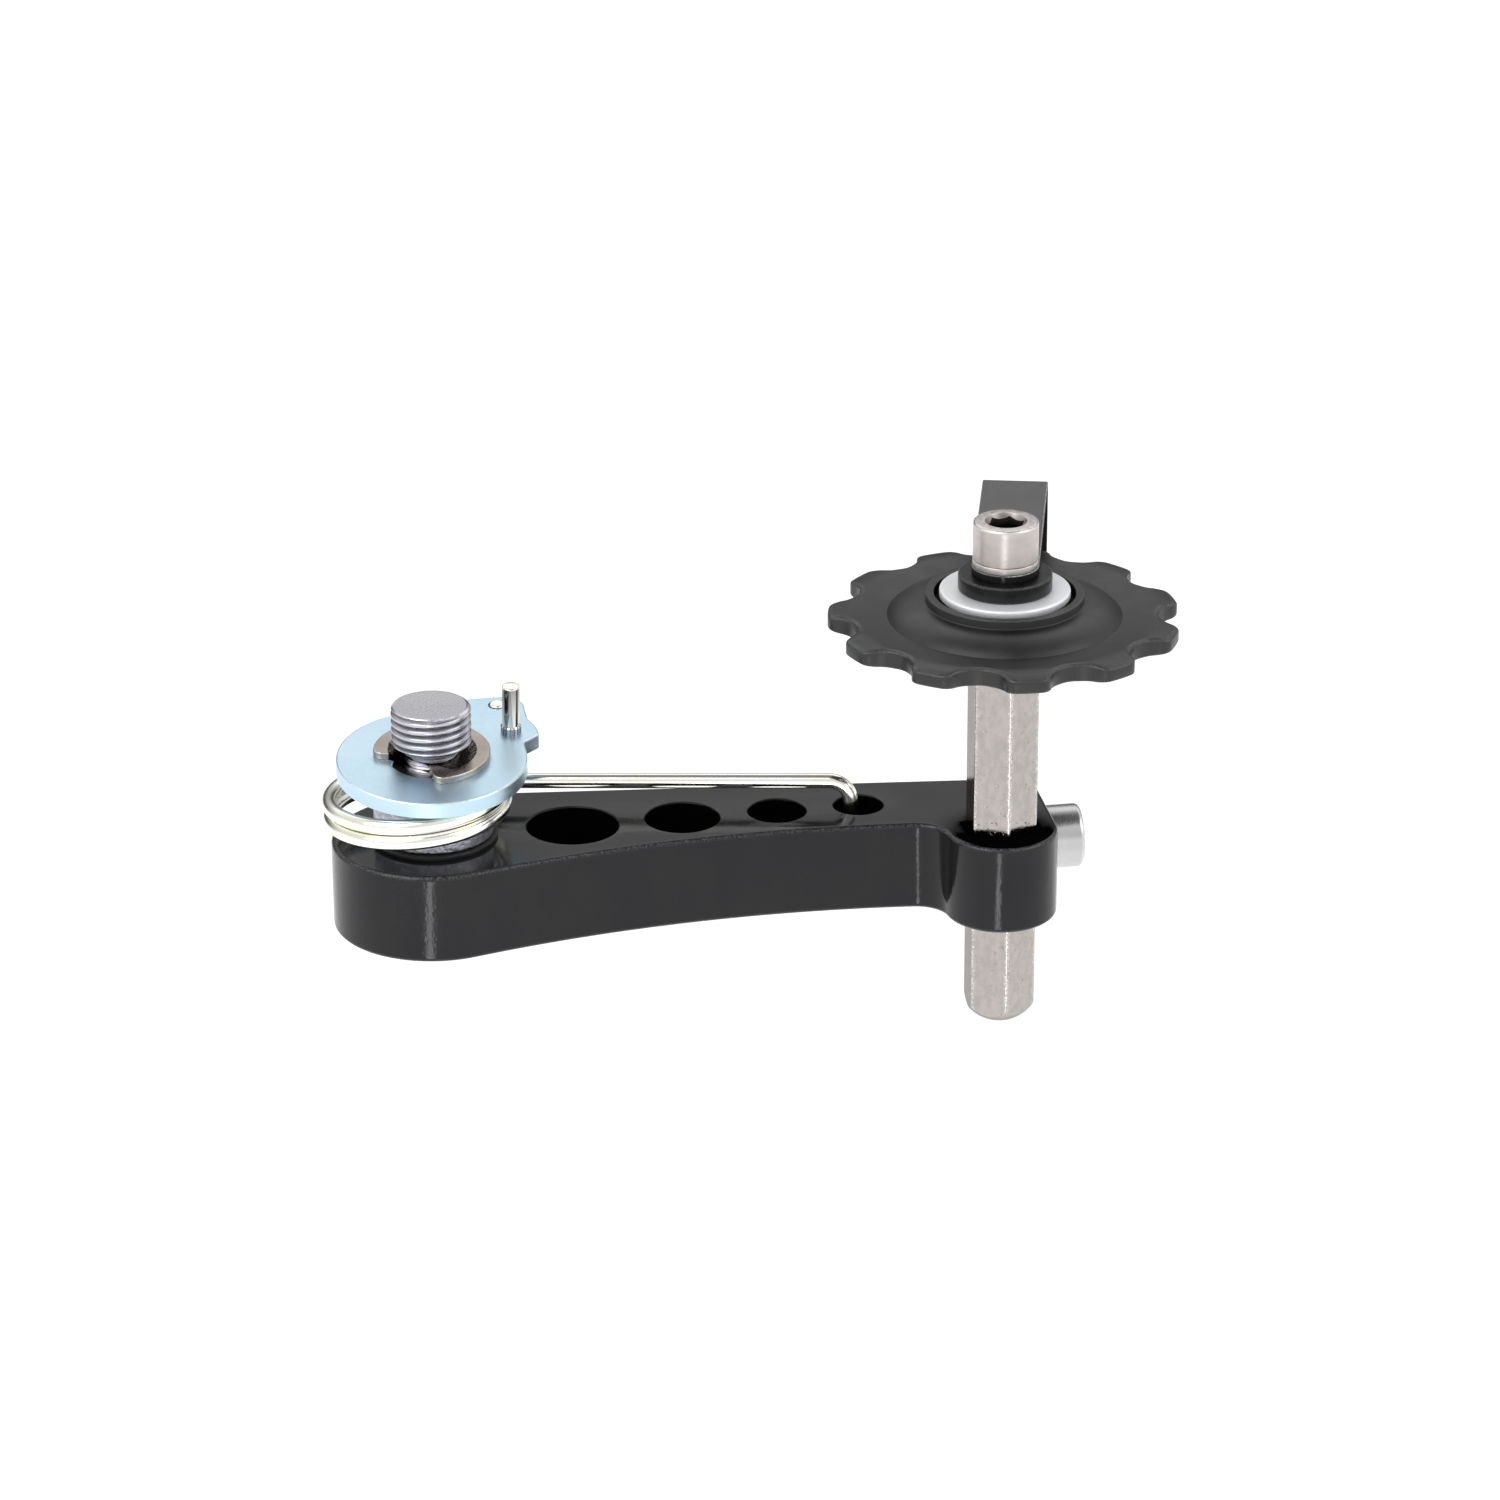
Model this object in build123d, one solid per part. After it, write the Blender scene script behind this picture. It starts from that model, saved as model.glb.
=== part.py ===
"""Sprung chain tensioner for a bicycle hanger, in millimetres, +Z up.

The origin is on the pivot axis at the base of the hanger thread. +Z runs up
the thread, +X along the row of holes in the arm towards the pulley.
"""

import os
from math import acos, asin, atan2, cos, degrees, hypot, pi, radians, sin, sqrt, tan

from build123d import *

# Running and assembly clearances
RUN_CLEARANCE = 0.05
LOOSE_CLEARANCE = 0.5
FACE_CLEARANCE = 0.05

# Hanger bolt
THREAD_RADIUS = 4.93
THREAD_LENGTH = 5.0
THREAD_CHAMFER = 0.35
NECK_RADIUS = 3.5
SHANK_RADIUS = 4.9
BOLT_HEAD_RADIUS = 7.6
BOLT_HEAD_HEIGHT = 4.0
BOLT_SOCKET = 6.0
BOLT_SOCKET_DEPTH = 3.0
BOLT_EDGE = 0.5

# E-clip
CLIP_THICKNESS = 0.95
CLIP_RADIUS = 7.2
CLIP_INNER_RADIUS = 5.4
CLIP_TOOTH_WIDTH = 2.4
CLIP_END_CORNER = 1.2
CLIP_OPENING_ANGLE = 84.0
CLIP_OPENING_DIRECTION = 222.5
CLIP_NECK_CLEARANCE = 0.35
CLIP_THREAD_CLEARANCE = 0.37

# Stop plate, tipped about the X axis
PLATE_TIP = 6.0
PLATE_THICKNESS = 2.0
PLATE_RADIUS = 11.75
LOBE_RIGHT = 12.95
LOBE_BACK = 14.0
LOBE_CORNER = 2.6
LOBE_FOOT = 7.9
LUG_FOOT_DIRECTION = 10.2
LUG_REACH = 0.9
LUG_WIDTH = 4.05
LUG_BULGE = 0.25
LUG_CORNER = 0.5
LUG_ROOT = 0.5
PLATE_EDGE = 0.3
SPRING_HOLE_INSET_X = 3.35
SPRING_HOLE_INSET_Y = 2.2
SPRING_HOLE_CLEARANCE = 0.15

# Stop pin, set in from the foot of the lobe
PIN_INSET_X = 2.5
PIN_INSET_Y = 2.95
PIN_RADIUS = 1.1
PIN_HEIGHT = 6.4
PIN_COLLAR_RADIUS = 1.28
PIN_COLLAR_HEIGHT = 1.1
PIN_CHAMFER = 0.2

# Sleeve in the coil and the two flanged bushes of the pivot
SLEEVE_RADIUS = 7.36
SLEEVE_HEIGHT = 7.1
SLEEVE_EDGE = 0.3
FLANGE_RADIUS = 7.9
FLANGE_THICKNESS = 0.6
BUSH_WALL = 1.1
BUSH_LENGTH = 3.0

# Arm
ARM_THICKNESS = 11.46
PIVOT_END_RADIUS = 12.65
WAIST_X = 44.0
WAIST_HALF_WIDTH = 6.38
BACK_CORNER_Y = 4.6
BACK_CORNER_RADIUS = 1.5
ARM_EDGE = 0.6
HOLE_POSITIONS = [17.28, 31.04, 42.96, 53.25]
HOLE_RADII = [5.65, 4.6, 3.58, 3.06]
HOLE_EDGE = 0.25
BOSS_RADIUS = 7.02
BOSS_FILLET = 4.0
SLIT_WIDTH = 1.5
COUNTERBORE_CLEARANCE = 0.5
HEAD_RECESS = 0.2

# Hexagon bar that carries the pulley
AXLE_X = 69.45
AXLE_Y = -9.63
HEX_FLATS = 8.0
HEX_CLEARANCE = 0.03
AXLE_ABOVE_ARM = 21.35
AXLE_BELOW_ARM = 14.7
AXLE_END_RADIUS = 5.2
AXLE_TOP_CHAMFER = 0.5

# Pinch screw of the clamp
SCREW_Y = -1.3
SCREW_RADIUS = 2.45
SCREW_LENGTH = 15.0
SCREW_HEAD_RADIUS = 4.0
SCREW_HEAD_HEIGHT = 4.8
SCREW_SOCKET = 4.0
SCREW_SOCKET_DEPTH = 2.4
SCREW_EDGE = 0.45
SCREW_TIP_CLEARANCE = 1.0

# Pulley wheel
TOOTH_COUNT = 11
CHAIN_PITCH = 12.7
ROLLER_SEAT_RADIUS = 3.8
TIP_RADIUS = 21.55
TIP_CORNER = 1.4
TOOTH_DIRECTION = -94.0
RIM_THICKNESS = 2.5
TIP_THICKNESS = 2.0
BEVEL_START = 19.0
CREASE_THICKNESS = 1.45
DOME_RADIUS = 14.35
DOME_HEIGHT = 1.25
DOME_BULGE = 0.35
LIP_OUTER_RADIUS = 9.65
LIP_INNER_RADIUS = 8.65
LIP_HEIGHT = 1.2
RECESS_DEPTH = 1.0

# Wheel bearing stack
BUSH_RADIUS = 4.0
CAP_RADIUS = 8.1
CAP_THICKNESS = 0.45
CAP_EDGE_SHARE = 0.6
CAP_SKIRT = 0.5
CAP_LIP_RISE = 0.05
SPACER_RADIUS = 5.75
SPACER_HEIGHT = 2.05
SPACER_EDGE = 0.25
LOCK_RADIUS = 4.0
LOCK_THICKNESS = 0.85
LOCK_SPLIT = 0.5
LOCK_SPLIT_SLANT = 35.0
LOCK_SPLIT_DIRECTION = 215.0

# Pulley bolt
PULLEY_BOLT_RADIUS = 2.45
PULLEY_BOLT_GRIP = 9.0
PULLEY_HEAD_RADIUS = 4.0
PULLEY_HEAD_HEIGHT = 4.85
PULLEY_SOCKET = 4.0
PULLEY_SOCKET_DEPTH = 2.2
PULLEY_EDGE = 0.4
TAP_SPARE = 1.5

# Chain guide
GUIDE_WIDTH = 8.2
GUIDE_THICKNESS = 1.0
GUIDE_DIRECTION = 75.5
GUIDE_BEND = 1.2
GUIDE_CHAIN_GAP = 7.85
GUIDE_DROP = 14.4
GUIDE_CORNER = 1.5

# Torsion spring
WIRE_RADIUS = 0.96
COIL_RADIUS = 10.77
COIL_SLEEVE_GAP = 0.51
COIL_LEAN = 2.1
COIL_NOD = 1.1
COIL_PITCH = 2.02
COIL_BASE_HEIGHT = 2.9
LEG_BEND = 2.6
LEG_HOLE_OFFSET = -1.05
LEG_DEPTH = 6.0
TAIL_BEND = 1.9
TAIL_STAND = 0.3

# Heights that follow from the stack on the bolt
tip = radians(PLATE_TIP)
clip_drop = THREAD_RADIUS * sin(tip) + CLIP_THREAD_CLEARANCE
plate_top_z = -clip_drop - CLIP_THICKNESS / cos(tip)
neck_length = -plate_top_z + SHANK_RADIUS * tan(tip) + CLIP_NECK_CLEARANCE
plate_low_z = plate_top_z - PLATE_THICKNESS / cos(tip) - SLEEVE_RADIUS * tan(tip)
sleeve_top_z = plate_low_z - FACE_CLEARANCE
sleeve_low_z = sleeve_top_z - SLEEVE_HEIGHT
arm_top_z = sleeve_low_z - FACE_CLEARANCE - FLANGE_THICKNESS
arm_low_z = arm_top_z - ARM_THICKNESS
head_low_z = arm_low_z + HEAD_RECESS
head_top_z = head_low_z + BOLT_HEAD_HEIGHT
counterbore_z = head_top_z + FACE_CLEARANCE + FLANGE_THICKNESS
bush_bore = SHANK_RADIUS + RUN_CLEARANCE
bush_outer = bush_bore + BUSH_WALL

# Heights of the pulley stack
axle_top_z = arm_top_z + AXLE_ABOVE_ARM
axle_low_z = arm_low_z - AXLE_BELOW_ARM
lower_cap_z = axle_top_z + SPACER_HEIGHT
hub_half = RIM_THICKNESS / 2 + DOME_HEIGHT + LIP_HEIGHT
bearing_low_z = lower_cap_z + CAP_THICKNESS
wheel_z = bearing_low_z + hub_half + CAP_LIP_RISE
bearing_length = 2 * (hub_half + CAP_LIP_RISE)
bearing_top_z = bearing_low_z + bearing_length
upper_spacer_z = bearing_top_z + CAP_THICKNESS
guide_z = upper_spacer_z + SPACER_HEIGHT
lock_z = guide_z + GUIDE_THICKNESS
pulley_head_z = lock_z + LOCK_THICKNESS
bolt_bore = PULLEY_BOLT_RADIUS + RUN_CLEARANCE

# Places in plan
pin_x = LOBE_RIGHT - PIN_INSET_X
pin_y = LOBE_FOOT - PIN_INSET_Y
spring_hole_x = LOBE_RIGHT - SPRING_HOLE_INSET_X
spring_hole_y = LOBE_BACK - SPRING_HOLE_INSET_Y
# The coil rests against the right side of the sleeve
coil_x = SLEEVE_RADIUS + COIL_SLEEVE_GAP + WIRE_RADIUS - COIL_RADIUS
end_x = AXLE_X + BOSS_RADIUS
hex_corner = HEX_FLATS / sqrt(3)
screw_z = arm_top_z - ARM_THICKNESS / 2
plate_frame = Pos(0, 0, plate_top_z) * Rot(PLATE_TIP, 0, 0)
axle_frame = Pos(AXLE_X, AXLE_Y, 0)


def rod(radius, low, high):
    """A round bar on the Z axis between two heights."""
    return Pos(0, 0, low) * Cylinder(radius, high - low, align=(Align.CENTER, Align.CENTER, Align.MIN))


def ring(outer, inner, low, high):
    """A plain ring on the Z axis between two heights."""
    return rod(outer, low, high) - rod(inner, low, high)


def chamfered_rod(radius, low, high, chamfer_low, chamfer_high):
    """A round bar with bevelled ends, by revolving its half section."""
    points = [(0, low), (radius - chamfer_low, low)]
    if chamfer_low > 0:
        points.append((radius, low + chamfer_low))
    if chamfer_high > 0:
        points.append((radius, high - chamfer_high))
    points += [(radius - chamfer_high, high), (0, high)]
    return revolve(Plane.XZ * make_face(Polyline(*points, close=True)), Axis.Z)


def hexagon(flats, low, high, turn):
    """A six-sided bar, its first corner turned from +X."""
    section = Pos(0, 0, low) * RegularPolygon(flats / sqrt(3), 6, rotation=turn)
    return extrude(section, high - low)


def flared_hole(radius, low, high, edge):
    """The tool for a through hole with a small bevel at both mouths."""
    tool = rod(radius, low - edge, high + edge)
    flare = 2 * edge
    foot = (Align.CENTER, Align.CENTER, Align.MIN)
    upper = Pos(0, 0, high - edge) * Cone(radius, radius + flare, flare, align=foot)
    lower = Pos(0, 0, low - edge) * Cone(radius + flare, radius, flare, align=foot)
    return tool + upper + lower


def tangent_angle(radius, x, y):
    """Half angle between a point and the tangent contact seen from the centre."""
    return acos(radius / hypot(x, y))


def make_hanger_bolt():
    thread = chamfered_rod(THREAD_RADIUS, 0, THREAD_LENGTH, 0, THREAD_CHAMFER)
    neck = rod(NECK_RADIUS, -neck_length, 0)
    shank = chamfered_rod(SHANK_RADIUS, head_top_z - BOLT_EDGE, -neck_length, 0, THREAD_CHAMFER)
    head = chamfered_rod(BOLT_HEAD_RADIUS, head_low_z, head_top_z, BOLT_EDGE, 0)
    socket = hexagon(BOLT_SOCKET, head_low_z - 1, head_low_z + BOLT_SOCKET_DEPTH, 0)
    return thread + neck + shank + head - socket


def make_e_clip():
    centre = tan(tip) * CLIP_THICKNESS / 2
    half = radians(CLIP_OPENING_ANGLE / 2)
    crescent = Circle(CLIP_RADIUS) - Circle(CLIP_INNER_RADIUS)
    reach = 2 * CLIP_RADIUS
    mouth = make_face(Polyline((0, 0), (reach * cos(half), reach * sin(half)), (2 * reach, 0),
                               (reach * cos(half), -reach * sin(half)), close=True))
    crescent -= mouth
    ends = crescent.vertices().filter_by(lambda v: hypot(v.X, v.Y) > (CLIP_RADIUS + CLIP_INNER_RADIUS) / 2)
    crescent = fillet(ends, CLIP_END_CORNER)
    # The end teeth run straight on from where the rounding of the ends stops
    rounding = CLIP_RADIUS - CLIP_END_CORNER
    half_tooth = degrees(asin(CLIP_TOOTH_WIDTH / 2 / rounding))
    tooth_root = sqrt(rounding ** 2 - (CLIP_TOOTH_WIDTH / 2) ** 2)
    for turn in (CLIP_OPENING_ANGLE / 2 + half_tooth, 180, -CLIP_OPENING_ANGLE / 2 - half_tooth):
        crescent += Rot(0, 0, turn) * Pos(tooth_root / 2, 0) * Rectangle(tooth_root, CLIP_TOOTH_WIDTH)
    crescent -= Circle(NECK_RADIUS + CLIP_NECK_CLEARANCE)
    body = extrude(Rot(0, 0, CLIP_OPENING_DIRECTION) * crescent, CLIP_THICKNESS)
    return plate_frame * Pos(0, centre, 0) * body


def make_stop_plate():
    lobe = make_face(Polyline((0, 0), (0, PLATE_RADIUS), (LOBE_RIGHT / 2, LOBE_BACK), (LOBE_RIGHT, LOBE_BACK),
                              (LOBE_RIGHT, LOBE_FOOT), close=True))
    corner = lobe.vertices().sort_by_distance((LOBE_RIGHT, LOBE_BACK))[0]
    lobe = fillet(corner, LOBE_CORNER)
    # The lug below the lobe: a slanted edge from the round of the plate, then a bulged side
    foot_way = radians(LUG_FOOT_DIRECTION)
    lug_foot = Vector(PLATE_RADIUS * cos(foot_way), PLATE_RADIUS * sin(foot_way))
    lug_tip = Vector(LOBE_RIGHT + LUG_REACH, LOBE_FOOT - LUG_WIDTH)
    lobe_foot = Vector(LOBE_RIGHT, LOBE_FOOT)
    bulge = (lug_tip + lobe_foot) / 2 + Vector(LUG_BULGE, 0)
    lug = make_face([
        Line(Vector(0, 0), lug_foot),
        Line(lug_foot, lug_tip),
        ThreePointArc(lug_tip, bulge, lobe_foot),
        Line(lobe_foot, Vector(0, 0)),
    ])
    lug = fillet(lug.vertices().sort_by_distance(lug_tip)[0], LUG_CORNER)
    outline = Circle(PLATE_RADIUS) + lobe + lug
    for root in (lug_foot, lobe_foot):
        outline = fillet(outline.vertices().sort_by_distance(root)[0], LUG_ROOT)
    body = Pos(0, 0, -PLATE_THICKNESS) * extrude(outline, PLATE_THICKNESS)
    body = fillet(body.faces().sort_by(Axis.Z)[-1].edges(), PLATE_EDGE)
    bore_shift = -PLATE_THICKNESS / 2 * tan(tip)
    body -= Pos(0, bore_shift, 0) * rod(SHANK_RADIUS + LOOSE_CLEARANCE, -PLATE_THICKNESS, 0)
    body -= Pos(spring_hole_x, spring_hole_y, 0) * rod(WIRE_RADIUS + SPRING_HOLE_CLEARANCE, -PLATE_THICKNESS, 0)
    body -= Pos(pin_x, pin_y, 0) * rod(PIN_RADIUS, -PLATE_THICKNESS, 0)
    return plate_frame * body


def make_stop_pin():
    shaft = chamfered_rod(PIN_RADIUS, -PLATE_THICKNESS, PIN_HEIGHT, 0, PIN_CHAMFER)
    collar = rod(PIN_COLLAR_RADIUS, 0, PIN_COLLAR_HEIGHT)
    return plate_frame * Pos(pin_x, pin_y, 0) * (shaft + collar)


def make_torsion_spring():
    coil = Pos(coil_x, 0, arm_top_z + COIL_BASE_HEIGHT) * Rot(-COIL_NOD, -COIL_LEAN, 0)
    back = coil.inverse()
    rise = COIL_PITCH / (2 * pi)
    # Lower leg, in the leaning frame of the coil, to the hole in the arm
    hole = (back * Pos(HOLE_POSITIONS[-1] + LEG_HOLE_OFFSET, 0, arm_top_z + COIL_BASE_HEIGHT)).position
    first = atan2(hole.Y, hole.X) + tangent_angle(COIL_RADIUS, hole.X, hole.Y)
    reach = sqrt(hole.X ** 2 + hole.Y ** 2 - COIL_RADIUS ** 2)
    start = Vector(COIL_RADIUS * cos(first), COIL_RADIUS * sin(first), 0)
    slope = rise / COIL_RADIUS
    leg_way = Vector(sin(first), -cos(first), -slope)
    # Upper tail, square through the tipped lobe of the plate
    lobe_hole = (back * plate_frame * Pos(spring_hole_x, spring_hole_y, TAIL_STAND)).position
    up = (back * plate_frame * Pos(spring_hole_x, spring_hole_y, TAIL_STAND + 1)).position - lobe_hole
    stand = PLATE_THICKNESS + TAIL_STAND + TAIL_BEND
    for _ in range(6):
        corner = lobe_hole - up * stand
        last = atan2(corner.Y, corner.X) - tangent_angle(COIL_RADIUS, corner.X, corner.Y) + 4 * pi
        tail_reach = sqrt(corner.X ** 2 + corner.Y ** 2 - COIL_RADIUS ** 2)
        height = rise * (last - first)
        stand = (lobe_hole.Z - height - slope * tail_reach) / up.Z
    end = Vector(COIL_RADIUS * cos(last), COIL_RADIUS * sin(last), height)
    tail_way = Vector(-sin(last), cos(last), slope)
    helix = Rot(0, 0, degrees(first)) * Helix(COIL_PITCH, height, COIL_RADIUS)
    down = Vector(0, 0, -1)
    leg_corner = start + leg_way * reach
    leg_stop = leg_corner - leg_way.normalized() * LEG_BEND
    leg_turn = leg_corner + down * LEG_BEND
    leg_end = leg_corner + down * (LEG_DEPTH + COIL_BASE_HEIGHT)
    tail_corner = end + tail_way * tail_reach
    tail_stop = tail_corner - tail_way.normalized() * TAIL_BEND
    tail_turn = tail_corner + up * TAIL_BEND
    path = Wire([
        Line(leg_end, leg_turn),
        TangentArc(leg_turn, leg_stop, tangent=-down),
        Line(leg_stop, start),
        helix.edges()[0],
        Line(end, tail_stop),
        TangentArc(tail_stop, tail_turn, tangent=tail_way),
        Line(tail_turn, lobe_hole),
    ])
    section = Plane(leg_end, z_dir=-down) * Circle(WIRE_RADIUS)
    return coil * sweep(section, path=path, is_frenet=True)


def make_spring_sleeve():
    body = ring(SLEEVE_RADIUS, bush_bore, sleeve_low_z, sleeve_top_z)
    rims = body.edges().filter_by(GeomType.CIRCLE).filter_by(lambda e: e.radius > SLEEVE_RADIUS - 0.01)
    return chamfer(rims, SLEEVE_EDGE)


def make_upper_bush():
    flange = ring(FLANGE_RADIUS, bush_bore, arm_top_z, arm_top_z + FLANGE_THICKNESS)
    tube = ring(bush_outer, bush_bore, arm_top_z - BUSH_LENGTH, arm_top_z)
    return flange + tube


def make_lower_bush():
    flange = ring(FLANGE_RADIUS, bush_bore, counterbore_z - FLANGE_THICKNESS, counterbore_z)
    tube = ring(bush_outer, bush_bore, counterbore_z, counterbore_z + BUSH_LENGTH)
    return flange + tube


def arm_outline():
    """The plan of the arm: round pivot end, waisted front, straight back, clamp boss."""
    end_radius = PIVOT_END_RADIUS
    waist = WAIST_HALF_WIDTH
    front_radius = (WAIST_X ** 2 + waist ** 2 - end_radius ** 2) / (2 * (end_radius - waist))
    centre = Vector(WAIST_X, -waist - front_radius)
    front_start = Vector(centre.X, centre.Y).normalized() * end_radius
    front_end = Vector(AXLE_X, centre.Y + sqrt(front_radius ** 2 - (AXLE_X - WAIST_X) ** 2))
    corner = Vector(end_x, BACK_CORNER_Y)
    contact = atan2(corner.Y, corner.X) + tangent_angle(end_radius, corner.X, corner.Y)
    back_start = Vector(end_radius * cos(contact), end_radius * sin(contact))
    plan = make_face([
        ThreePointArc(front_start, Vector(WAIST_X, -waist), front_end),
        Line(front_end, Vector(AXLE_X, AXLE_Y)),
        Line(Vector(AXLE_X, AXLE_Y), Vector(end_x, AXLE_Y)),
        Line(Vector(end_x, AXLE_Y), corner),
        Line(corner, back_start),
        ThreePointArc(back_start, Vector(-end_radius, 0), front_start),
    ])
    plan = fillet(plan.vertices().sort_by_distance(corner)[0], BACK_CORNER_RADIUS)
    plan = Sketch() + plan + axle_frame * Circle(BOSS_RADIUS)
    inner = plan.vertices().sort_by_distance(Vector(AXLE_X - BOSS_RADIUS, -waist))[0]
    return fillet(inner, BOSS_FILLET)


def make_arm():
    body = Pos(0, 0, arm_low_z) * extrude(arm_outline(), ARM_THICKNESS)
    by_height = body.faces().sort_by(Axis.Z)
    body = fillet(by_height[-1].edges() + by_height[0].edges(), ARM_EDGE)
    for x, radius in zip(HOLE_POSITIONS, HOLE_RADII):
        body -= Pos(x, 0, 0) * flared_hole(radius, arm_low_z, arm_top_z, HOLE_EDGE)
    body -= rod(bush_outer, arm_low_z, arm_top_z)
    body -= rod(BOLT_HEAD_RADIUS + COUNTERBORE_CLEARANCE, arm_low_z, counterbore_z)
    body -= axle_frame * hexagon(HEX_FLATS + 2 * HEX_CLEARANCE, arm_low_z, arm_top_z, 30)
    slit_length = PIVOT_END_RADIUS - AXLE_Y
    slit = Pos(AXLE_X, AXLE_Y + slit_length / 2, screw_z) * Box(SLIT_WIDTH, slit_length, ARM_THICKNESS)
    body -= slit
    along = Pos(0, SCREW_Y, screw_z) * Rot(0, 90, 0)
    tip_x = end_x - SCREW_LENGTH
    body -= along * rod(SCREW_RADIUS + RUN_CLEARANCE, tip_x - SCREW_TIP_CLEARANCE, AXLE_X)
    body -= along * rod(SCREW_RADIUS + LOOSE_CLEARANCE, AXLE_X, end_x)
    return body


def cap_screw(shank, length, head, height, socket, depth, edge):
    """A socket cap screw pointing down, its head seated on the XY plane."""
    stem = chamfered_rod(shank, -length, edge, edge, 0)
    cap = chamfered_rod(head, 0, height, 0, edge)
    return stem + cap - hexagon(socket, height - depth, height + 1, 0)


def make_clamp_screw():
    screw = cap_screw(SCREW_RADIUS, SCREW_LENGTH, SCREW_HEAD_RADIUS, SCREW_HEAD_HEIGHT,
                      SCREW_SOCKET, SCREW_SOCKET_DEPTH, SCREW_EDGE)
    return Pos(end_x + FACE_CLEARANCE, SCREW_Y, screw_z) * Rot(0, 90, 0) * screw


def make_hex_axle():
    bar = hexagon(HEX_FLATS, axle_low_z, axle_top_z, 30)
    middle_z = axle_low_z + AXLE_END_RADIUS
    envelope = Pos(0, 0, middle_z) * Sphere(AXLE_END_RADIUS)
    top_chamfer = AXLE_END_RADIUS - hex_corner + AXLE_TOP_CHAMFER
    envelope += chamfered_rod(AXLE_END_RADIUS, middle_z, axle_top_z, 0, top_chamfer)
    tap_low = pulley_head_z - bolt_length() - TAP_SPARE
    return axle_frame * ((bar & envelope) - rod(bolt_bore, tap_low, axle_top_z))


def bolt_length():
    """Length of the pulley bolt under its head."""
    return pulley_head_z - axle_top_z + PULLEY_BOLT_GRIP


def make_pulley_wheel():
    pitch_radius = CHAIN_PITCH / 2 / sin(pi / TOOTH_COUNT)
    half_rim = RIM_THICKNESS / 2
    dome_top = half_rim + DOME_HEIGHT
    lip_top = dome_top + LIP_HEIGHT
    floor_z = lip_top - RECESS_DEPTH
    bore = BUSH_RADIUS + RUN_CLEARANCE
    # The rim thins inwards to a crease at the foot of the dome
    crease = Vector(DOME_RADIUS, 0, CREASE_THICKNESS / 2)
    dome_edge = Vector(LIP_OUTER_RADIUS, 0, dome_top)
    middle = (crease + dome_edge) / 2 + Vector(DOME_BULGE, 0, DOME_BULGE)
    upper = [(bore, 0), (bore, floor_z), (LIP_INNER_RADIUS, floor_z), (LIP_INNER_RADIUS, lip_top),
             (LIP_OUTER_RADIUS, lip_top), (LIP_OUTER_RADIUS, dome_top)]
    outer = [(crease.X, crease.Z), (BEVEL_START, half_rim), (TIP_RADIUS, TIP_THICKNESS / 2), (TIP_RADIUS, 0)]
    lines = Polyline(*[Vector(r, 0, z) for r, z in upper]).edges()
    lines += [ThreePointArc(dome_edge, middle, crease)]
    lines += Polyline(*[Vector(r, 0, z) for r, z in outer]).edges()
    lines += [Line(Vector(TIP_RADIUS, 0, 0), Vector(bore, 0, 0))]
    half = revolve(make_face(lines), Axis.Z)
    turned = half + mirror(half, Plane.XY)
    valleys = PolarLocations(pitch_radius, TOOTH_COUNT, 180 / TOOTH_COUNT)
    teeth = Circle(TIP_RADIUS) - valleys * Circle(ROLLER_SEAT_RADIUS)
    corners = teeth.vertices().filter_by(lambda v: hypot(v.X, v.Y) > TIP_RADIUS - 0.05)
    teeth = fillet(corners, TIP_CORNER)
    blank = Rot(0, 0, TOOTH_DIRECTION) * extrude(teeth, 2 * lip_top)
    wheel = turned & (Pos(0, 0, -lip_top) * blank)
    return axle_frame * Pos(0, 0, wheel_z) * wheel


def make_pulley_bush():
    return axle_frame * ring(BUSH_RADIUS, bolt_bore, bearing_low_z, bearing_top_z)


def dust_cap():
    """A pressed cap with a short skirt, its flat on the XY plane and its skirt below."""
    flat = ring(CAP_RADIUS, bolt_bore, 0, CAP_THICKNESS)
    skirt = ring(CAP_RADIUS, CAP_RADIUS - CAP_THICKNESS, -CAP_SKIRT, 0)
    cap = flat + skirt
    circles = cap.edges().filter_by(GeomType.CIRCLE).sort_by(Axis.Z)
    rim = circles[-2:].filter_by(lambda e: e.radius > CAP_RADIUS - 0.01)
    return fillet(rim, CAP_THICKNESS * CAP_EDGE_SHARE)


def make_upper_dust_cap():
    return axle_frame * Pos(0, 0, bearing_top_z) * dust_cap()


def make_lower_dust_cap():
    return axle_frame * Pos(0, 0, bearing_low_z) * Rot(180, 0, 0) * dust_cap()


def spacer(low):
    """A turned spacer with bevelled rims, standing at one height."""
    body = chamfered_rod(SPACER_RADIUS, low, low + SPACER_HEIGHT, SPACER_EDGE, SPACER_EDGE)
    return axle_frame * (body - rod(bolt_bore, low, low + SPACER_HEIGHT))


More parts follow.
